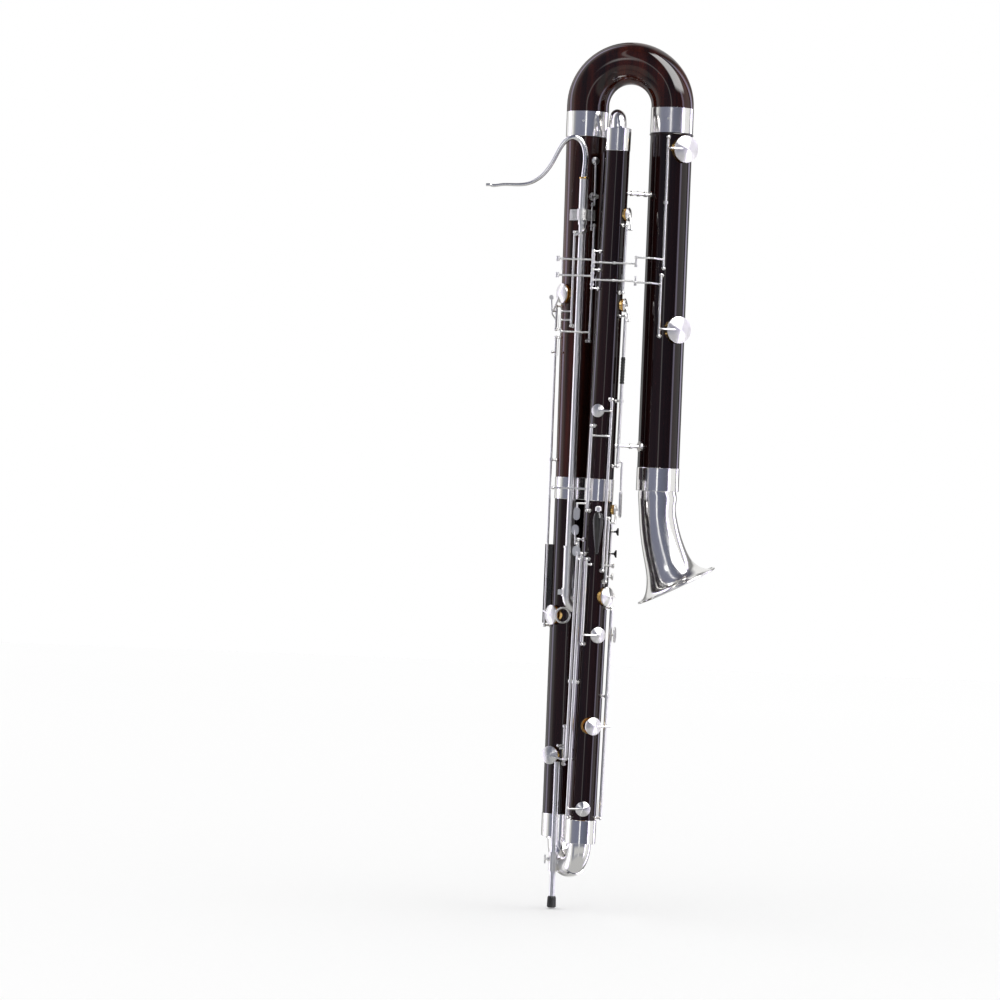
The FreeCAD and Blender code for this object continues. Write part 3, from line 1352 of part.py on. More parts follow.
def guard_plate():
    """The dark guard block beside the long joint, behind the long left key's rod."""
    low, high = height(491), height(628)
    block = Part.makeBox(17, 9, high - low, Vector(-35, LONG_Y + 1.0, low))
    edges = [e for e in block.Edges if abs(e.Length - (high - low)) < 0.01]
    block = block.makeFillet(1.5, edges)
    return block.cut(LONG.envelope(low - 5, high + 5))


def screw_head(host, z, azimuth, surface, radius=2.0, height_out=1.2):
    out = side(azimuth)
    start = host.at(z, azimuth, surface - 0.6)
    head = rod(start, start + out * (0.6 + height_out), radius)
    slot = Part.makeBox(0.6, 8, 8, Vector(-0.3, -4, 0))
    slot.Placement = FreeCAD.Placement(Vector(0, 0, 0), FreeCAD.Rotation(UP, out))
    slot.translate(host.at(z, azimuth, surface + height_out - 0.5))
    body = rod(host.centre(z - 6), host.centre(z + 6), surface)
    return head.cut(body).cut(slot)


def small_screws():
    screws = []
    head_r = ferrule_bore(LONG, LONG_HEAD) + FERRULE_WALL
    screws.append(screw_head(LONG, LONG_HEAD[1] - 18, -12, head_r))
    head_r = ferrule_bore(BELL_JOINT, BELL_HEAD) + FERRULE_WALL
    screws.append(screw_head(BELL_JOINT, BELL_HEAD[1] - 20, -12, head_r))
    strap_r = LONG.radius(BRACKET_LOW) + 2.4
    for azimuth in (-30, 24):
        for z in (BRACKET_LOW + 5, BRACKET_HIGH - 5):
            screws.append(screw_head(LONG, z, azimuth, strap_r, 1.8, 1.0))
    return screws


# ---------------------------------------------------------------- the whole instrument
# Keys whose pad is a node of its own; the smaller pads are solids in their key's node.
OWN_PAD_NODE = {
    "bell_upper_key", "bell_lower_key", "left_high_key", "right_low_key", "right_long_key",
    "low_left_key", "left_long_key",
}


def instrument():
    """Every node: its name and its solids."""
    nodes = {
        "long_joint_lower": [long_joint_lower()],
        "long_joint_upper": [long_joint_upper()],
        "front_joint_lower": [front_joint_lower()],
        "front_joint_upper": [front_joint_upper()],
        "wing_joint": [wing_joint()],
        "bell_joint": [bell_joint()],
        "top_bow": [top_bow()],
        "bell": [bell()],
        "top_return_bend": [top_return_bend()],
        "bottom_bow": [bottom_bow()],
        "bow_guard": [bow_guard()],
        "ferrules": ferrules(),
        "tenon_corks": tenon_corks(),
        "receiver_bracket": [receiver_bracket()],
        "small_screws": small_screws(),
        "downtube": [downtube()],
        "downtube_sleeve": [downtube_sleeve()],
        "endpin_socket": [endpin_socket()],
        "hand_rest": [hand_rest()],
        "guard_plate": [guard_plate()],
        "braces": braces(),
        "key_posts": key_posts(),
        "pivot_rods": pivot_rods(),
        "needle_springs": needle_springs(),
        "tone_hole_rings": tone_hole_rings(),
        "receiver": [receiver()],
        "receiver_ring": [receiver_ring()],
        "bocal": [bocal()],
        "drain_bend": [drain_bend()],
        "endpin": [endpin()],
        "endpin_tip": [endpin_tip()],
        "endpin_screw": [endpin_screw()],
        "hand_rest_knob": [hand_rest_knob()],
        "vent_lever": [vent_lever()],
    }
    keys = {
        "bell_upper_key": bell_upper_key, "bell_lower_key": bell_lower_key,
        "upper_rocker": upper_rocker, "lower_rocker": lower_rocker,
        "left_high_key": left_high_key, "vent_key": vent_key, "vent_rod": vent_rod,
        "right_high_key": right_high_key, "blade_key": blade_key,
        "front_high_key": front_high_key, "side_cup_key": side_cup_key,
        "thumb_plate_key": thumb_plate_key, "right_low_key": right_low_key,
        "middle_front_key": middle_front_key, "right_long_key": right_long_key,
        "low_front_key": low_front_key, "low_left_rod": low_left_rod,
        "low_left_key": low_left_key, "left_long_key": left_long_key,
    }
    for name, make in keys.items():
        nodes[name] = [rest(name, make())]
    for name, place in CUPS.items():
        padding = rest(name, pad(*place))
        if name in OWN_PAD_NODE:
            nodes[name.replace("_key", "_pad")] = [padding]
        else:
            nodes[name].append(padding)
    return nodes


def write(nodes):
    os.makedirs("parts", exist_ok=True)
    for name, solids in nodes.items():
        flat = []
        for shape in solids:
            flat += shape.Solids
        shape = flat[0] if len(flat) == 1 else Part.makeCompound(flat)
        if not shape.isValid():
            print("not valid:", name)
        shape.exportStep(os.path.join("parts", name + ".step"))


if __name__ == "__main__":
    write(instrument())
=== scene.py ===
import math

import bmesh
import bpy
import numpy as np
from mathutils import Matrix, Vector


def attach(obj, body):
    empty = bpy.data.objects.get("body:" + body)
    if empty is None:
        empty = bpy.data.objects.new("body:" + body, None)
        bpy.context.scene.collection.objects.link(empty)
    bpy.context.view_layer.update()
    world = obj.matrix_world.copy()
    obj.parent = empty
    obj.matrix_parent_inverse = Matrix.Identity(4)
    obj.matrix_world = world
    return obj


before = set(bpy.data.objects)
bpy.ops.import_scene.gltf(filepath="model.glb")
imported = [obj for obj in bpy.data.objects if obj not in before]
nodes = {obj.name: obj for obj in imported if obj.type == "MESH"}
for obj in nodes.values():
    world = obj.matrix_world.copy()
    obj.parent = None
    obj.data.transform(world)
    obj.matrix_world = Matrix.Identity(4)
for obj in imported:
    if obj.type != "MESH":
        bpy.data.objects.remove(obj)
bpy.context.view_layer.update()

scene = bpy.context.scene

# ------------------------------------------------------------------ wooden tubes
# The long joint, front joint, wing joint, bell joint and bent bow: bored and turned maple, ebonised
# to a very dark red-brown and rubbed up under many coats of clear gloss lacquer.


def new_material(name):
    material = bpy.data.materials.new(name)
    material.use_nodes = True
    tree = material.node_tree
    return material, tree, tree.nodes["Principled BSDF"]


def add(tree, kind, **settings):
    node = tree.nodes.new(kind)
    for key, value in settings.items():
        setattr(node, key, value)
    return node


def ramp(tree, source, *stops):
    """A colour ramp fed by source: stops are (place, colour) pairs."""
    node = add(tree, "ShaderNodeValToRGB")
    elements = node.color_ramp.elements
    while len(elements) < len(stops):
        elements.new(0.5)
    for element, (place, colour) in zip(elements, stops):
        element.position = place
        element.color = (*colour, 1.0)
    tree.links.new(source, node.inputs["Fac"])
    return node.outputs["Color"]


def grey(value):
    return (value, value, value)


def new_group(name, inputs, outputs):
    """A shader node group: inputs are (name, default), outputs are (name, socket kind)."""
    group = bpy.data.node_groups.new(name, "ShaderNodeTree")
    for title, value in inputs:
        socket = group.interface.new_socket(title, in_out="INPUT", socket_type="NodeSocketFloat")
        socket.default_value = value
    for title, kind in outputs:
        group.interface.new_socket(title, in_out="OUTPUT", socket_type=kind)
    return group, add(group, "NodeGroupInput"), add(group, "NodeGroupOutput")


def place_group(tree, group, **values):
    node = add(tree, "ShaderNodeGroup", node_tree=group)
    for title, value in values.items():
        node.inputs[title.replace("_", " ")].default_value = value
    return node


def long_grain():
    """Grain lines that run up the tube: fine dark pores over slow streaks of colour."""
    group, source, result = new_group(
        "long_grain", [("Across", 260.0), ("Along", 6.0)],
        [("Streak", "NodeSocketFloat"), ("Pores", "NodeSocketFloat")])
    place = add(group, "ShaderNodeTexCoord").outputs["Object"]
    stretch = add(group, "ShaderNodeCombineXYZ")
    for axis, title in (("X", "Across"), ("Y", "Across"), ("Z", "Along")):
        group.links.new(source.outputs[title], stretch.inputs[axis])
    scaled = add(group, "ShaderNodeVectorMath", operation="MULTIPLY")
    group.links.new(place, scaled.inputs[0])
    group.links.new(stretch.outputs[0], scaled.inputs[1])
    streak = add(group, "ShaderNodeTexNoise")
    streak.inputs["Scale"].default_value = 0.22
    streak.inputs["Detail"].default_value = 4.0
    pores = add(group, "ShaderNodeTexNoise")
    pores.inputs["Scale"].default_value = 2.2
    pores.inputs["Detail"].default_value = 3.0
    for noise, title in ((streak, "Streak"), (pores, "Pores")):
        group.links.new(scaled.outputs[0], noise.inputs["Vector"])
        group.links.new(noise.outputs["Fac"], result.inputs[title])
    return group


grain_group = long_grain()


def lacquered_wood(name, dark, warm, roughness):
    """Dark wood under clear gloss lacquer: the grain shows only as faint warm streaks and fine pores."""
    material, tree, surface = new_material(name)
    grain = place_group(tree, grain_group, Across=220.0, Along=5.0)
    colour = ramp(tree, grain.outputs["Streak"], (0.34, dark), (0.70, warm))
    shade = add(tree, "ShaderNodeMix", data_type="RGBA", blend_type="MULTIPLY")
    shade.inputs["Factor"].default_value = 0.5
    tree.links.new(colour, shade.inputs[6])
    tree.links.new(ramp(tree, grain.outputs["Pores"], (0.36, grey(0.3)), (0.52, grey(1.0))),
                   shade.inputs[7])
    tree.links.new(shade.outputs[2], surface.inputs["Base Color"])
    rough = add(tree, "ShaderNodeMapRange")
    rough.inputs["To Min"].default_value = roughness
    rough.inputs["To Max"].default_value = roughness + 0.12
    tree.links.new(grain.outputs["Pores"], rough.inputs["Value"])
    tree.links.new(rough.outputs[0], surface.inputs["Roughness"])
    bump = add(tree, "ShaderNodeBump")
    bump.inputs["Strength"].default_value = 0.04
    bump.inputs["Distance"].default_value = 0.0004
    tree.links.new(grain.outputs["Pores"], bump.inputs["Height"])
    tree.links.new(bump.outputs[0], surface.inputs["Normal"])
    surface.inputs["Specular IOR Level"].default_value = 0.0
    surface.inputs["Coat Weight"].default_value = 1.0
    surface.inputs["Coat Roughness"].default_value = 0.035
    surface.inputs["Coat IOR"].default_value = 1.5
    return material


def dress(names, material):
    """Give whole CAD pieces one finish."""
    for name in names:
        nodes[name].data.materials.clear()
        nodes[name].data.materials.append(material)


# For each finish: its name, the wood between and under the warm streaks, and the pieces that have it. The
# stain took least on the upper long joint, and a little less on the bow than on the other tubes.
WOOD_FINISHES = [
    ("ebonised_maple", (0.0030, 0.0009, 0.0011), (0.0170, 0.0040, 0.0034),
     ["long_joint_lower", "front_joint_lower", "front_joint_upper", "wing_joint", "bell_joint"]),
    ("ebonised_maple_long_joint", (0.0100, 0.0024, 0.0016), (0.0750, 0.0150, 0.0075), ["long_joint_upper"]),
    ("ebonised_maple_bow", (0.0060, 0.0012, 0.0008), (0.0550, 0.0090, 0.0038), ["top_bow"])]
WOOD_ROUGHNESS = 0.3        # of the wood itself, under the lacquer
for finish, dark, warm, pieces in WOOD_FINISHES:
    dress(pieces, lacquered_wood(finish, dark, warm, WOOD_ROUGHNESS))

# ------------------------------------------------------------------ silver-plated tubework
# Drawn and spun nickel silver, plated with silver and buffed: ferrules, bends, bell and bocal. Handling
# leaves faint smudges, and buffing leaves hair-fine marks along the piece.


def plate_marks():
    """Smudges and fine buffing marks for polished metal."""
    group, source, result = new_group(
        "plate_marks", [("Smudge Scale", 9.0), ("Mark Scale", 300.0), ("Mark Stretch", 0.04)],
        [("Smudge", "NodeSocketFloat"), ("Marks", "NodeSocketFloat")])
    place = add(group, "ShaderNodeTexCoord").outputs["Object"]
    smudge = add(group, "ShaderNodeTexNoise")
    smudge.inputs["Detail"].default_value = 5.0
    smudge.inputs["Distortion"].default_value = 0.6
    group.links.new(place, smudge.inputs["Vector"])
    group.links.new(source.outputs["Smudge Scale"], smudge.inputs["Scale"])
    stretch = add(group, "ShaderNodeCombineXYZ")
    stretch.inputs["X"].default_value = 1.0
    stretch.inputs["Y"].default_value = 1.0
    group.links.new(source.outputs["Mark Stretch"], stretch.inputs["Z"])
    scaled = add(group, "ShaderNodeVectorMath", operation="MULTIPLY")
    group.links.new(place, scaled.inputs[0])
    group.links.new(stretch.outputs[0], scaled.inputs[1])
    marks = add(group, "ShaderNodeTexNoise")
    marks.inputs["Detail"].default_value = 2.0
    group.links.new(scaled.outputs[0], marks.inputs["Vector"])
    group.links.new(source.outputs["Mark Scale"], marks.inputs["Scale"])
    group.links.new(smudge.outputs["Fac"], result.inputs["Smudge"])
    group.links.new(marks.outputs["Fac"], result.inputs["Marks"])
    return group


marks_group = plate_marks()


def polished_metal(name, bright, dull, low, high, mark_scale, mark_stretch, depth=0.03):
    """Buffed metal: dull is its colour under a smudge, low and high the range of its roughness."""
    material, tree, surface = new_material(name)
    marks = place_group(tree, marks_group, Smudge_Scale=9.0, Mark_Scale=mark_scale,
                        Mark_Stretch=mark_stretch)
    colour = ramp(tree, marks.outputs["Smudge"], (0.42, bright), (0.70, dull))
    tree.links.new(colour, surface.inputs["Base Color"])
    rough = add(tree, "ShaderNodeMapRange")
    rough.inputs["From Min"].default_value = 0.35
    rough.inputs["From Max"].default_value = 0.70
    rough.inputs["To Min"].default_value = low
    rough.inputs["To Max"].default_value = high
    tree.links.new(marks.outputs["Smudge"], rough.inputs["Value"])
    tree.links.new(rough.outputs[0], surface.inputs["Roughness"])
    bump = add(tree, "ShaderNodeBump")
    bump.inputs["Strength"].default_value = depth
    bump.inputs["Distance"].default_value = 0.0002
    tree.links.new(marks.outputs["Marks"], bump.inputs["Height"])
    tree.links.new(bump.outputs[0], surface.inputs["Normal"])
    surface.inputs["Metallic"].default_value = 1.0
    return material


silver = polished_metal("silver_plate", (0.95, 0.94, 0.92), (0.88, 0.87, 0.85), 0.10, 0.20,
                        mark_scale=420.0, mark_stretch=0.03, depth=0.08)
dress(["bell", "top_return_bend", "bottom_bow", "bow_guard", "ferrules", "bocal"], silver)

# ------------------------------------------------------------------ keywork
# Forged and turned nickel silver on steel rods, plated thinly and worn to a soft shine, with the tubes of
# the crook's slide in the same metal. The receiver's bracket is left satin, and gilt rings are let into
# the wood as seats for the pads.
nickel = polished_metal("nickel_silver", (0.96, 0.95, 0.92), (0.84, 0.83, 0.80), 0.28, 0.42,
                        mark_scale=500.0, mark_stretch=0.3)
steel = polished_metal("steel_rod", grey(0.88), grey(0.74), 0.26, 0.38, mark_scale=600.0, mark_stretch=0.02)
brass = polished_metal("gilt_brass", (0.86, 0.58, 0.22), (0.66, 0.40, 0.12), 0.12, 0.28,
                       mark_scale=400.0, mark_stretch=1.0)
satin = polished_metal("satin_plate", (0.96, 0.95, 0.92), (0.80, 0.79, 0.76), 0.50, 0.62,
                       mark_scale=700.0, mark_stretch=0.3)
KEY_NODES = [n for n in nodes if n.endswith(("_key", "_rocker", "_rod"))]
FITTINGS = ["vent_lever", "small_screws", "endpin_socket", "braces", "key_posts", "hand_rest_knob",
            "endpin_screw", "downtube", "downtube_sleeve", "receiver", "drain_bend"]
dress(KEY_NODES + FITTINGS, nickel)
dress(["receiver_bracket"], satin)
dress(["pivot_rods", "needle_springs", "endpin"], steel)
dress(["tone_hole_rings", "receiver_ring"], brass)

# ------------------------------------------------------------------ pads and cups
# Each cup holds a felt pad faced with tanned leather, held by shellac, under a cap of silver that is spun
# and skimmed in a lathe. The pad is its own piece on most keys, and on the small ones the smallest solid
# of the key itself.


def pad_leather():
    material, tree, surface = new_material("pad_leather")
    place = add(tree, "ShaderNodeTexCoord").outputs["Object"]
    pores = add(tree, "ShaderNodeTexVoronoi")
    pores.inputs["Scale"].default_value = 1400.0
    tone = add(tree, "ShaderNodeTexNoise")
    tone.inputs["Scale"].default_value = 60.0
    for node in (pores, tone):
        tree.links.new(place, node.inputs["Vector"])
    tree.links.new(ramp(tree, tone.outputs["Fac"], (0.3, (0.42, 0.18, 0.02)), (0.7, (0.64, 0.32, 0.05))),
                   surface.inputs["Base Color"])
    bump = add(tree, "ShaderNodeBump")
    bump.inputs["Strength"].default_value = 0.3
    bump.inputs["Distance"].default_value = 0.0002
    tree.links.new(pores.outputs["Distance"], bump.inputs["Height"])
    tree.links.new(bump.outputs[0], surface.inputs["Normal"])
    surface.inputs["Roughness"].default_value = 0.5
    return material


leather = pad_leather()


def welded_parts(piece):
    """The separate solids of a piece: for each, its polygons and the places of its corners."""
    mesh = piece.data
    places = np.array([v.co for v in mesh.vertices])
    _, welded = np.unique(np.round(places * 1e5).astype(int), axis=0, return_inverse=True)
    welded = welded.ravel()
    parent = list(range(int(welded.max()) + 1))

    def root(i):
        while parent[i] != i:
            parent[i] = parent[parent[i]]
            i = parent[i]
        return i

    for polygon in mesh.polygons:
        first, *others = [root(int(welded[v])) for v in polygon.vertices]
        for other in others:
            parent[root(other)] = root(first)
    groups = {}
    for polygon in mesh.polygons:
        groups.setdefault(root(int(welded[polygon.vertices[0]])), []).append(polygon)
    return [(polygons, places[sorted({v for p in polygons for v in p.vertices})])
            for polygons in groups.values()]


def disc_frame(points):
    """The middle, axis, radius and half thickness of a flat round solid."""
    spread = np.unique(np.round(points, 6), axis=0)
    _, _, directions = np.linalg.svd(spread - spread.mean(axis=0), full_matrices=False)
    axis = directions[2]
    low, high = (spread @ axis).min(), (spread @ axis).max()
    flat = spread - np.outer(spread @ axis, axis)
    middle = (flat.max(axis=0) + flat.min(axis=0)) / 2
    radius = np.linalg.norm(flat - middle, axis=1).max()
    return Vector(middle + axis * (low + high) / 2), Vector(axis), radius, (high - low) / 2


PAD_INSET = 0.0009          # pad's edge from the cup's
PAD_PROUD = 0.0022          # pad below the cup
PAD_THICK = 0.0040
CUP_RIM = 0.0026            # height of the cup's straight side
CONE_RISE = 0.0015          # the cone's height at the middle of the cup, to which a share of
CONE_SLOPE = 0.2            # the cup's radius is added
CAP_WALL = 0.0003
CAP_CLEAR = 0.0005          # cap's point above the cup's


def cup_pads():
    """For each key with a cup, its name and its pad's frame, with the axis pointing out of the cup."""
    found = {}
    for name in (n for n in KEY_NODES if n.endswith("_key")):
        parts = sorted(welded_parts(nodes[name]), key=lambda part: np.ptp(part[1], axis=0).max())
        pad = name.replace("_key", "_pad")
        if pad in nodes:
            points = welded_parts(nodes[pad])[0][1]
            dress([pad], leather)
        elif len(parts) > 1 and abs(disc_frame(parts[0][1])[3] * 2 - PAD_THICK) < 0.0002:
            points = parts[0][1]
            nodes[name].data.materials.append(leather)
            for polygon in parts[0][0]:
                polygon.material_index = 1
        else:
            continue
        middle, axis, radius, half = disc_frame(points)
        body = np.concatenate([part[1] for part in parts[(0 if pad in nodes else 1):]])
        reach = body - np.array(middle)
        height = reach @ np.array(axis)
        beside = np.linalg.norm(reach - np.outer(height, np.array(axis)), axis=1)
        if height[beside < radius].mean() < 0:
            axis = -axis
        found[name] = (middle - axis * half, axis, radius + PAD_INSET)
    return found


def spun_silver():
    """Silver skimmed in a lathe: the fine rings draw the light out into wedges."""
    material, tree, surface = new_material("spun_silver")
    place = add(tree, "ShaderNodeTexCoord").outputs["Object"]
    rings = add(tree, "ShaderNodeTexWave", wave_type="RINGS", rings_direction="Z")
    rings.inputs["Scale"].default_value = 700.0
    rings.inputs["Distortion"].default_value = 0.6
    tone = add(tree, "ShaderNodeTexNoise")
    tone.inputs["Scale"].default_value = 90.0
    for node in (rings, tone):
        tree.links.new(place, node.inputs["Vector"])
    colour = ramp(tree, tone.outputs["Fac"], (0.40, (0.95, 0.94, 0.92)), (0.68, (0.86, 0.85, 0.82)))
    tree.links.new(colour, surface.inputs["Base Color"])
    bump = add(tree, "ShaderNodeBump")
    bump.inputs["Strength"].default_value = 0.06
    bump.inputs["Distance"].default_value = 0.0001
    tree.links.new(rings.outputs["Fac"], bump.inputs["Height"])
    tree.links.new(bump.outputs[0], surface.inputs["Normal"])
    around = add(tree, "ShaderNodeTangent", direction_type="RADIAL", axis="Z")
    tree.links.new(around.outputs[0], surface.inputs["Tangent"])
    surface.inputs["Metallic"].default_value = 1.0
    surface.inputs["Roughness"].default_value = 0.30
    surface.inputs["Anisotropic"].default_value = 0.95
    surface.inputs["Anisotropic Rotation"].default_value = 0.25
    return material


spun = spun_silver()
CAP_SIDES = 96


def lathe(name, profile, sides):
    """A turned piece, from an outline of (radius, height) pairs that may touch the axis."""
    mesh = bpy.data.meshes.new(name)
    form = bmesh.new()
    rows = []
    for radius, height in profile:
        if radius == 0:
            rows.append([form.verts.new((0, 0, height))])
        else:
            rows.append([form.verts.new((radius * math.cos(math.tau * i / sides),
                                         radius * math.sin(math.tau * i / sides), height))
                         for i in range(sides)])
    for low, high in zip(rows, rows[1:]):
        for i in range(sides):
            j = (i + 1) % sides
            corners = [low[i % len(low)], low[j % len(low)], high[j % len(high)], high[i % len(high)]]
            unique = list(dict.fromkeys(corners))
            if len(unique) > 2:
                form.faces.new(unique)
    bmesh.ops.recalc_face_normals(form, faces=form.faces)
    form.to_mesh(mesh)
    form.free()
    mesh.shade_smooth()
    mesh.set_sharp_from_angle(angle=math.radians(25))
    turned = bpy.data.objects.new(name, mesh)
    scene.collection.objects.link(turned)
    return turned


def cup_cap(name, base, axis, radius):
    """The spun cap of one cup: up from the rim's edge, over a rounded shoulder and up its flat cone."""
    outer = radius + CAP_WALL
    shoulder = PAD_PROUD + CUP_RIM
    peak = shoulder + CONE_RISE + radius * CONE_SLOPE + CAP_CLEAR
    profile = [(outer - 0.0002, PAD_PROUD - 0.0001), (outer, PAD_PROUD + 0.0002), (outer, shoulder - 0.0006),
               (outer - 0.0002, shoulder - 0.0001), (outer - 0.0006, shoulder + 0.0002), (0, peak),
               (0, peak - 0.0003), (outer - 0.0009, shoulder - 0.0001), (outer - 0.0003, shoulder - 0.0008),
               (outer - 0.0003, PAD_PROUD)]
    cap = lathe(name, profile + profile[:1], CAP_SIDES)
    cap.matrix_world = Matrix.Translation(base) @ axis.to_track_quat("Z", "Y").to_matrix().to_4x4()
    cap.data.materials.append(spun)
    return cap


for key, (base, axis, radius) in cup_pads().items():
    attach(cup_cap(key.replace("_key", "_cap"), base, axis, radius), key)

# ------------------------------------------------------------------ dark fittings
# Hard rubber and soft rubber: the hand rest, the guard beside the long joint and the endpin's foot.


def moulded(name, low, high, roughness, grain):
    material, tree, surface = new_material(name)
    place = add(tree, "ShaderNodeTexCoord").outputs["Object"]
    tone = add(tree, "ShaderNodeTexNoise")
    tone.inputs["Scale"].default_value = 35.0
    fine = add(tree, "ShaderNodeTexNoise")
    fine.inputs["Scale"].default_value = grain
    for node in (tone, fine):
        tree.links.new(place, node.inputs["Vector"])
    tree.links.new(ramp(tree, tone.outputs["Fac"], (0.35, low), (0.7, high)), surface.inputs["Base Color"])
    bump = add(tree, "ShaderNodeBump")
    bump.inputs["Strength"].default_value = 0.25
    bump.inputs["Distance"].default_value = 0.0003
    tree.links.new(fine.outputs["Fac"], bump.inputs["Height"])
    tree.links.new(bump.outputs[0], surface.inputs["Normal"])
    surface.inputs["Roughness"].default_value = roughness
    return material


hard_rubber = moulded("hard_rubber", grey(0.012), (0.035, 0.033, 0.032), 0.18, 900.0)
soft_rubber = moulded("soft_rubber", grey(0.012), grey(0.03), 0.6, 1500.0)
cork = moulded("cork_lapping", (0.35, 0.22, 0.11), (0.55, 0.38, 0.21), 0.8, 500.0)
dress(["hand_rest", "guard_plate"], hard_rubber)
dress(["endpin_tip"], soft_rubber)
dress(["tenon_corks"], cork)

# ------------------------------------------------------------------ black touches
# The two upper ones of the four mushroom touches on the right low key are tipped with hard rubber, so that
# the finger finds them. The tips are turned to the same form as the metal ones.
TOUCHES = [(-0.033, 0.655), (-0.033, 0.617)]        # across and height of each one's middle
TOUCH_RADIUS = 0.0070
TOUCH_BACK = 0.0800         # the rubber starts here, out from the key's tube


def black_touches(piece):
    piece.data.materials.append(hard_rubber)
    for polygon in piece.data.polygons:
        x, y, z = polygon.center
        if x > TOUCH_BACK and min(math.hypot(y - a, z - b) for a, b in TOUCHES) < TOUCH_RADIUS:
            polygon.material_index = 1


black_touches(nodes["right_low_key"])

# ------------------------------------------------------------------ grip sleeve
# A ribbed sleeve of soft rubber, moulded in one and pushed over the blade key's tube, where it quietens the
# long tube and keeps the hand from slipping.
SLEEVE_FOOT = Vector((0.0841, -0.057, 0.9095))
SLEEVE_LEAN = Vector((0.015, 0.0, 0.9999))
SLEEVE_LENGTH = 0.0460
SLEEVE_BORE = 0.0027
SLEEVE_END = 0.0034
RIB_TOP = 0.0038
RIB_ROOT = 0.0032
RIBS = 9
RIB_PITCH = 0.005


def grip_sleeve():
    """The sleeve is turned from its outline: bore, foot, ribs, head and back to the bore."""
    profile = [(SLEEVE_BORE, 0.0), (SLEEVE_END, 0.0)]
    for rib in range(RIBS):
        foot = 0.0005 + rib * RIB_PITCH
        profile += [(RIB_TOP, foot + 0.0004), (RIB_TOP, foot + 0.0031), (RIB_ROOT, foot + 0.0036),
                    (RIB_ROOT, foot + 0.0044)]
    profile += [(SLEEVE_END, SLEEVE_LENGTH), (SLEEVE_BORE, SLEEVE_LENGTH), (SLEEVE_BORE, 0.0)]
    sleeve = lathe("blade_key_grip", profile, 32)
    lean = SLEEVE_LEAN.to_track_quat("Z", "Y").to_matrix().to_4x4()
    sleeve.matrix_world = Matrix.Translation(SLEEVE_FOOT) @ lean
    sleeve.data.materials.append(soft_rubber)
    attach(sleeve, "blade_key")


grip_sleeve()

# ------------------------------------------------------------------ studio
# A pale floor and a white backdrop, in a room that is dark in front and hung with white panels at both
# sides, and a long-lens camera at half the instrument's height, rolled so that the instrument leans.
scene.view_settings.view_transform = "Standard"
FLOOR_DROP = 0.002          # just under the endpin's foot
FLOOR_HALF = 9.0


def pale_floor():
    """A matt floor. Mirrors look through it to the room's own floor level."""
    mesh = bpy.data.meshes.new("floor")
    corners = [(-FLOOR_HALF, -FLOOR_HALF, -FLOOR_DROP), (FLOOR_HALF, -FLOOR_HALF, -FLOOR_DROP),
               (FLOOR_HALF, FLOOR_HALF, -FLOOR_DROP), (-FLOOR_HALF, FLOOR_HALF, -FLOOR_DROP)]
    mesh.from_pydata(corners, [], [(0, 1, 2, 3)])
    floor = bpy.data.objects.new("floor", mesh)
    scene.collection.objects.link(floor)
    material, tree, surface = new_material("pale_floor")
    grain = add(tree, "ShaderNodeTexNoise")
    grain.inputs["Scale"].default_value = 3.0
    tree.links.new(ramp(tree, grain.outputs["Fac"], (0.3, grey(0.985)), (0.7, grey(1.0))),
                   surface.inputs["Base Color"])
    surface.inputs["Roughness"].default_value = 0.9
    surface.inputs["Specular IOR Level"].default_value = 0.0
    path = add(tree, "ShaderNodeLightPath")
    through = add(tree, "ShaderNodeBsdfTransparent")
    mix = add(tree, "ShaderNodeMixShader")
    tree.links.new(path.outputs["Is Glossy Ray"], mix.inputs[0])
    tree.links.new(surface.outputs[0], mix.inputs[1])
    tree.links.new(through.outputs[0], mix.inputs[2])
    tree.links.new(mix.outputs[0], tree.nodes["Material Output"].inputs["Surface"])
    mesh.materials.append(material)


pale_floor()

LILAC = (2.7, 2.5, 3.3)     # the panels that shine most
# The room's colour at each bearing, in degrees from straight behind the camera and plus towards the right
ROOM = [(-180, grey(0.9)), (-172, grey(0.8)), (-165, grey(0.2)), (-150, grey(0.25)), (-144, grey(0.8)),
        (-116, grey(0.85)), (-112, LILAC), (-102, LILAC), (-98, grey(0.85)), (-84, grey(0.85)),
        (-76, grey(0.4)), (-64, (0.20, 0.21, 0.27)), (-30, (0.17, 0.18, 0.25)), (-9, (0.19, 0.20, 0.27)),
        (-7, grey(1.6)), (-4, grey(1.6)), (-2, (0.15, 0.16, 0.23)), (30, (0.12, 0.13, 0.18)),
        (56, (0.10, 0.10, 0.14)), (60, LILAC), (66, LILAC), (69, grey(0.85)), (108, grey(0.85)),
        (111, grey(0.2)), (118, grey(0.2)), (122, LILAC), (130, LILAC), (136, grey(0.8)), (144, grey(0.25)),
        (162, grey(0.2)), (168, grey(0.8)), (180, grey(0.9))]
LEAN_IN = 0.6               # how far the panels lean in over the object, in degrees for each degree up
# Ceiling and floor as polished surfaces see them: colour, and the heights, as shares of the way from
# straight down to straight up, between which they fade in.
CEILING = ((0.10, 0.10, 0.13), 0.80, 0.90)
FLOOR_SEEN = (grey(0.5), 0.34, 0.24)
# Soft lamps seen in polished surfaces: bearing, rise, half width and half height in degrees, brightness
LAMPS = [(0, -24, 56, 11, 0.55), (46, 48, 24, 26, 10.0), (-26, 20, 5, 5, 3.0)]
LAMP_EDGE = 4.0             # degrees over which a lamp fades out


def math_node(tree, operation, first, second):
    node = add(tree, "ShaderNodeMath", operation=operation)
    for socket, value in zip(node.inputs, (first, second)):
        if isinstance(value, (int, float)):
            socket.default_value = value
        else:
            tree.links.new(value, socket)
    return node.outputs[0]


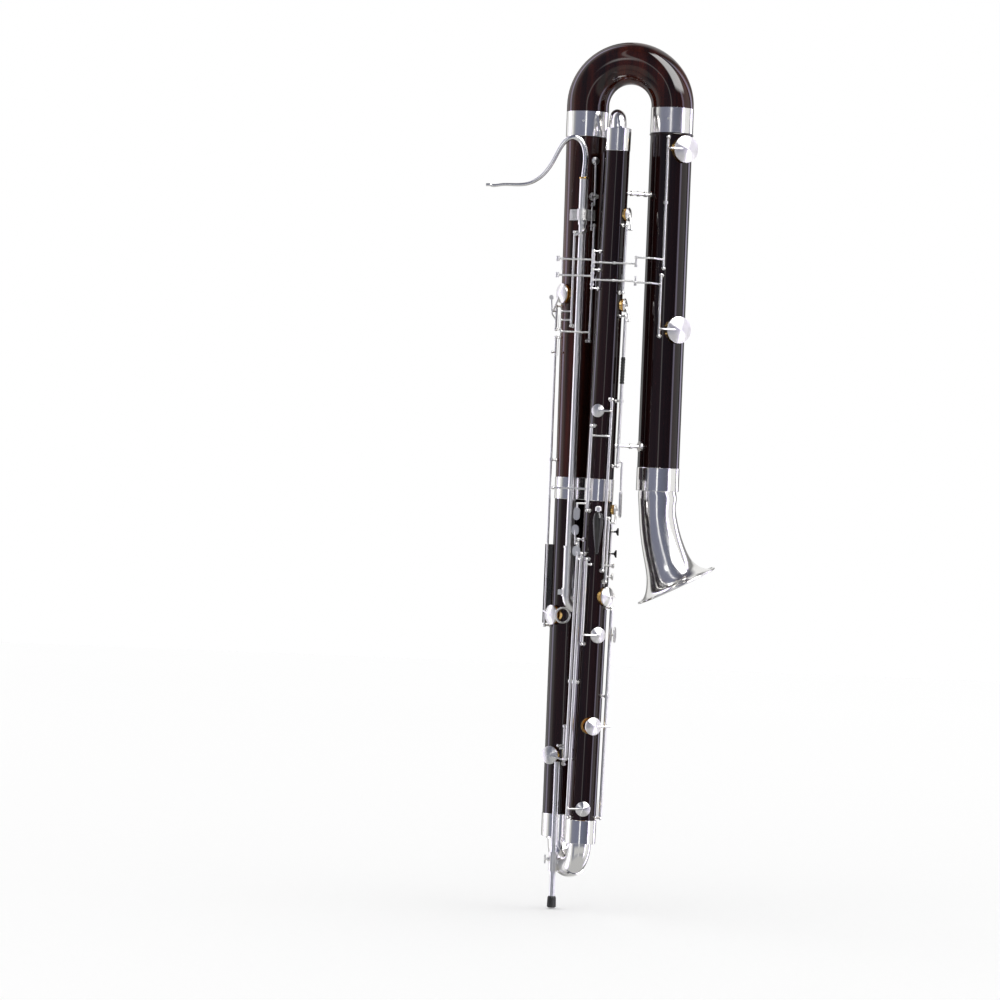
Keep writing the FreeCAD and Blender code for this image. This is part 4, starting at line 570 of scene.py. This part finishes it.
def studio_world():
    """White to the camera, a plain white level on matt things, and the room's panels in polished ones."""
    world = bpy.data.worlds.new("studio")
    scene.world = world
    world.use_nodes = True
    tree = world.node_tree
    place = add(tree, "ShaderNodeTexCoord").outputs["Generated"]
    split = add(tree, "ShaderNodeSeparateXYZ")
    tree.links.new(place, split.inputs[0])
    rise = math_node(tree, "ARCSINE", split.outputs["Z"], 0.0)
    backwards = math_node(tree, "MULTIPLY", split.outputs["Y"], -1.0)
    turn = math_node(tree, "ARCTAN2", split.outputs["X"], backwards)
    lean = math_node(tree, "MULTIPLY", math_node(tree, "MAXIMUM", rise, 0.0), LEAN_IN)
    bearing = math_node(tree, "ADD", turn, lean)
    share = math_node(tree, "ADD", math_node(tree, "DIVIDE", bearing, math.tau), 0.5)
    room = ramp(tree, share, *[((degrees + 180) / 360, colour) for degrees, colour in ROOM])
    height = math_node(tree, "ADD", math_node(tree, "DIVIDE", rise, math.pi), 0.5)
    for colour, start, full in (CEILING, FLOOR_SEEN):
        stops = sorted([(start, grey(0.0)), (full, grey(1.0))])
        mix = add(tree, "ShaderNodeMix", data_type="RGBA")
        tree.links.new(ramp(tree, height, *stops), mix.inputs["Factor"])
        tree.links.new(room, mix.inputs[6])
        mix.inputs[7].default_value = (*colour, 1.0)
        room = mix.outputs[2]
    for lamp_bearing, lamp_rise, half_width, half_height, brightness in LAMPS:
        masks = []
        for angle, middle, half in ((turn, lamp_bearing, half_width), (rise, lamp_rise, half_height)):
            off = math_node(tree, "ABSOLUTE", math_node(tree, "SUBTRACT", angle, math.radians(middle)), 0.0)
            edge = add(tree, "ShaderNodeMapRange", interpolation_type="SMOOTHSTEP")
            edge.inputs["From Min"].default_value = math.radians(half + LAMP_EDGE)
            edge.inputs["From Max"].default_value = math.radians(half - LAMP_EDGE)
            tree.links.new(off, edge.inputs["Value"])
            masks.append(edge.outputs[0])
        glow = add(tree, "ShaderNodeMix", data_type="RGBA")
        tree.links.new(math_node(tree, "MULTIPLY", *masks), glow.inputs["Factor"])
        tree.links.new(room, glow.inputs[6])
        glow.inputs[7].default_value = (*grey(brightness), 1.0)
        room = glow.outputs[2]
    shiny = tree.nodes["Background"]
    tree.links.new(room, shiny.inputs["Color"])
    plain = add(tree, "ShaderNodeBackground")
    plain.inputs["Color"].default_value = (1.0, 1.0, 1.0, 1.0)
    path = add(tree, "ShaderNodeLightPath")
    mix = add(tree, "ShaderNodeMixShader")
    tree.links.new(path.outputs["Is Glossy Ray"], mix.inputs[0])
    tree.links.new(plain.outputs[0], mix.inputs[1])
    tree.links.new(shiny.outputs[0], mix.inputs[2])
    tree.links.new(mix.outputs[0], tree.nodes["World Output"].inputs["Surface"])


studio_world()

AIM = Vector((-0.1169, 0.0015, 0.70168))
DISTANCE = 7.0
ELEVATION = math.radians(0.4)
ROLL = math.radians(2.2875)
LENS = 145.54
SENSOR = 36.0
camera_data = bpy.data.cameras.new("camera")
camera_data.lens = LENS
camera_data.sensor_width = SENSOR
camera = bpy.data.objects.new("camera", camera_data)
stand = AIM + Vector((0, -math.cos(ELEVATION), math.sin(ELEVATION))) * DISTANCE
facing = (AIM - stand).to_track_quat("-Z", "Y").to_matrix().to_4x4()
camera.matrix_world = Matrix.Translation(stand) @ facing @ Matrix.Rotation(ROLL, 4, "Z")
scene.collection.objects.link(camera)
scene.camera = camera
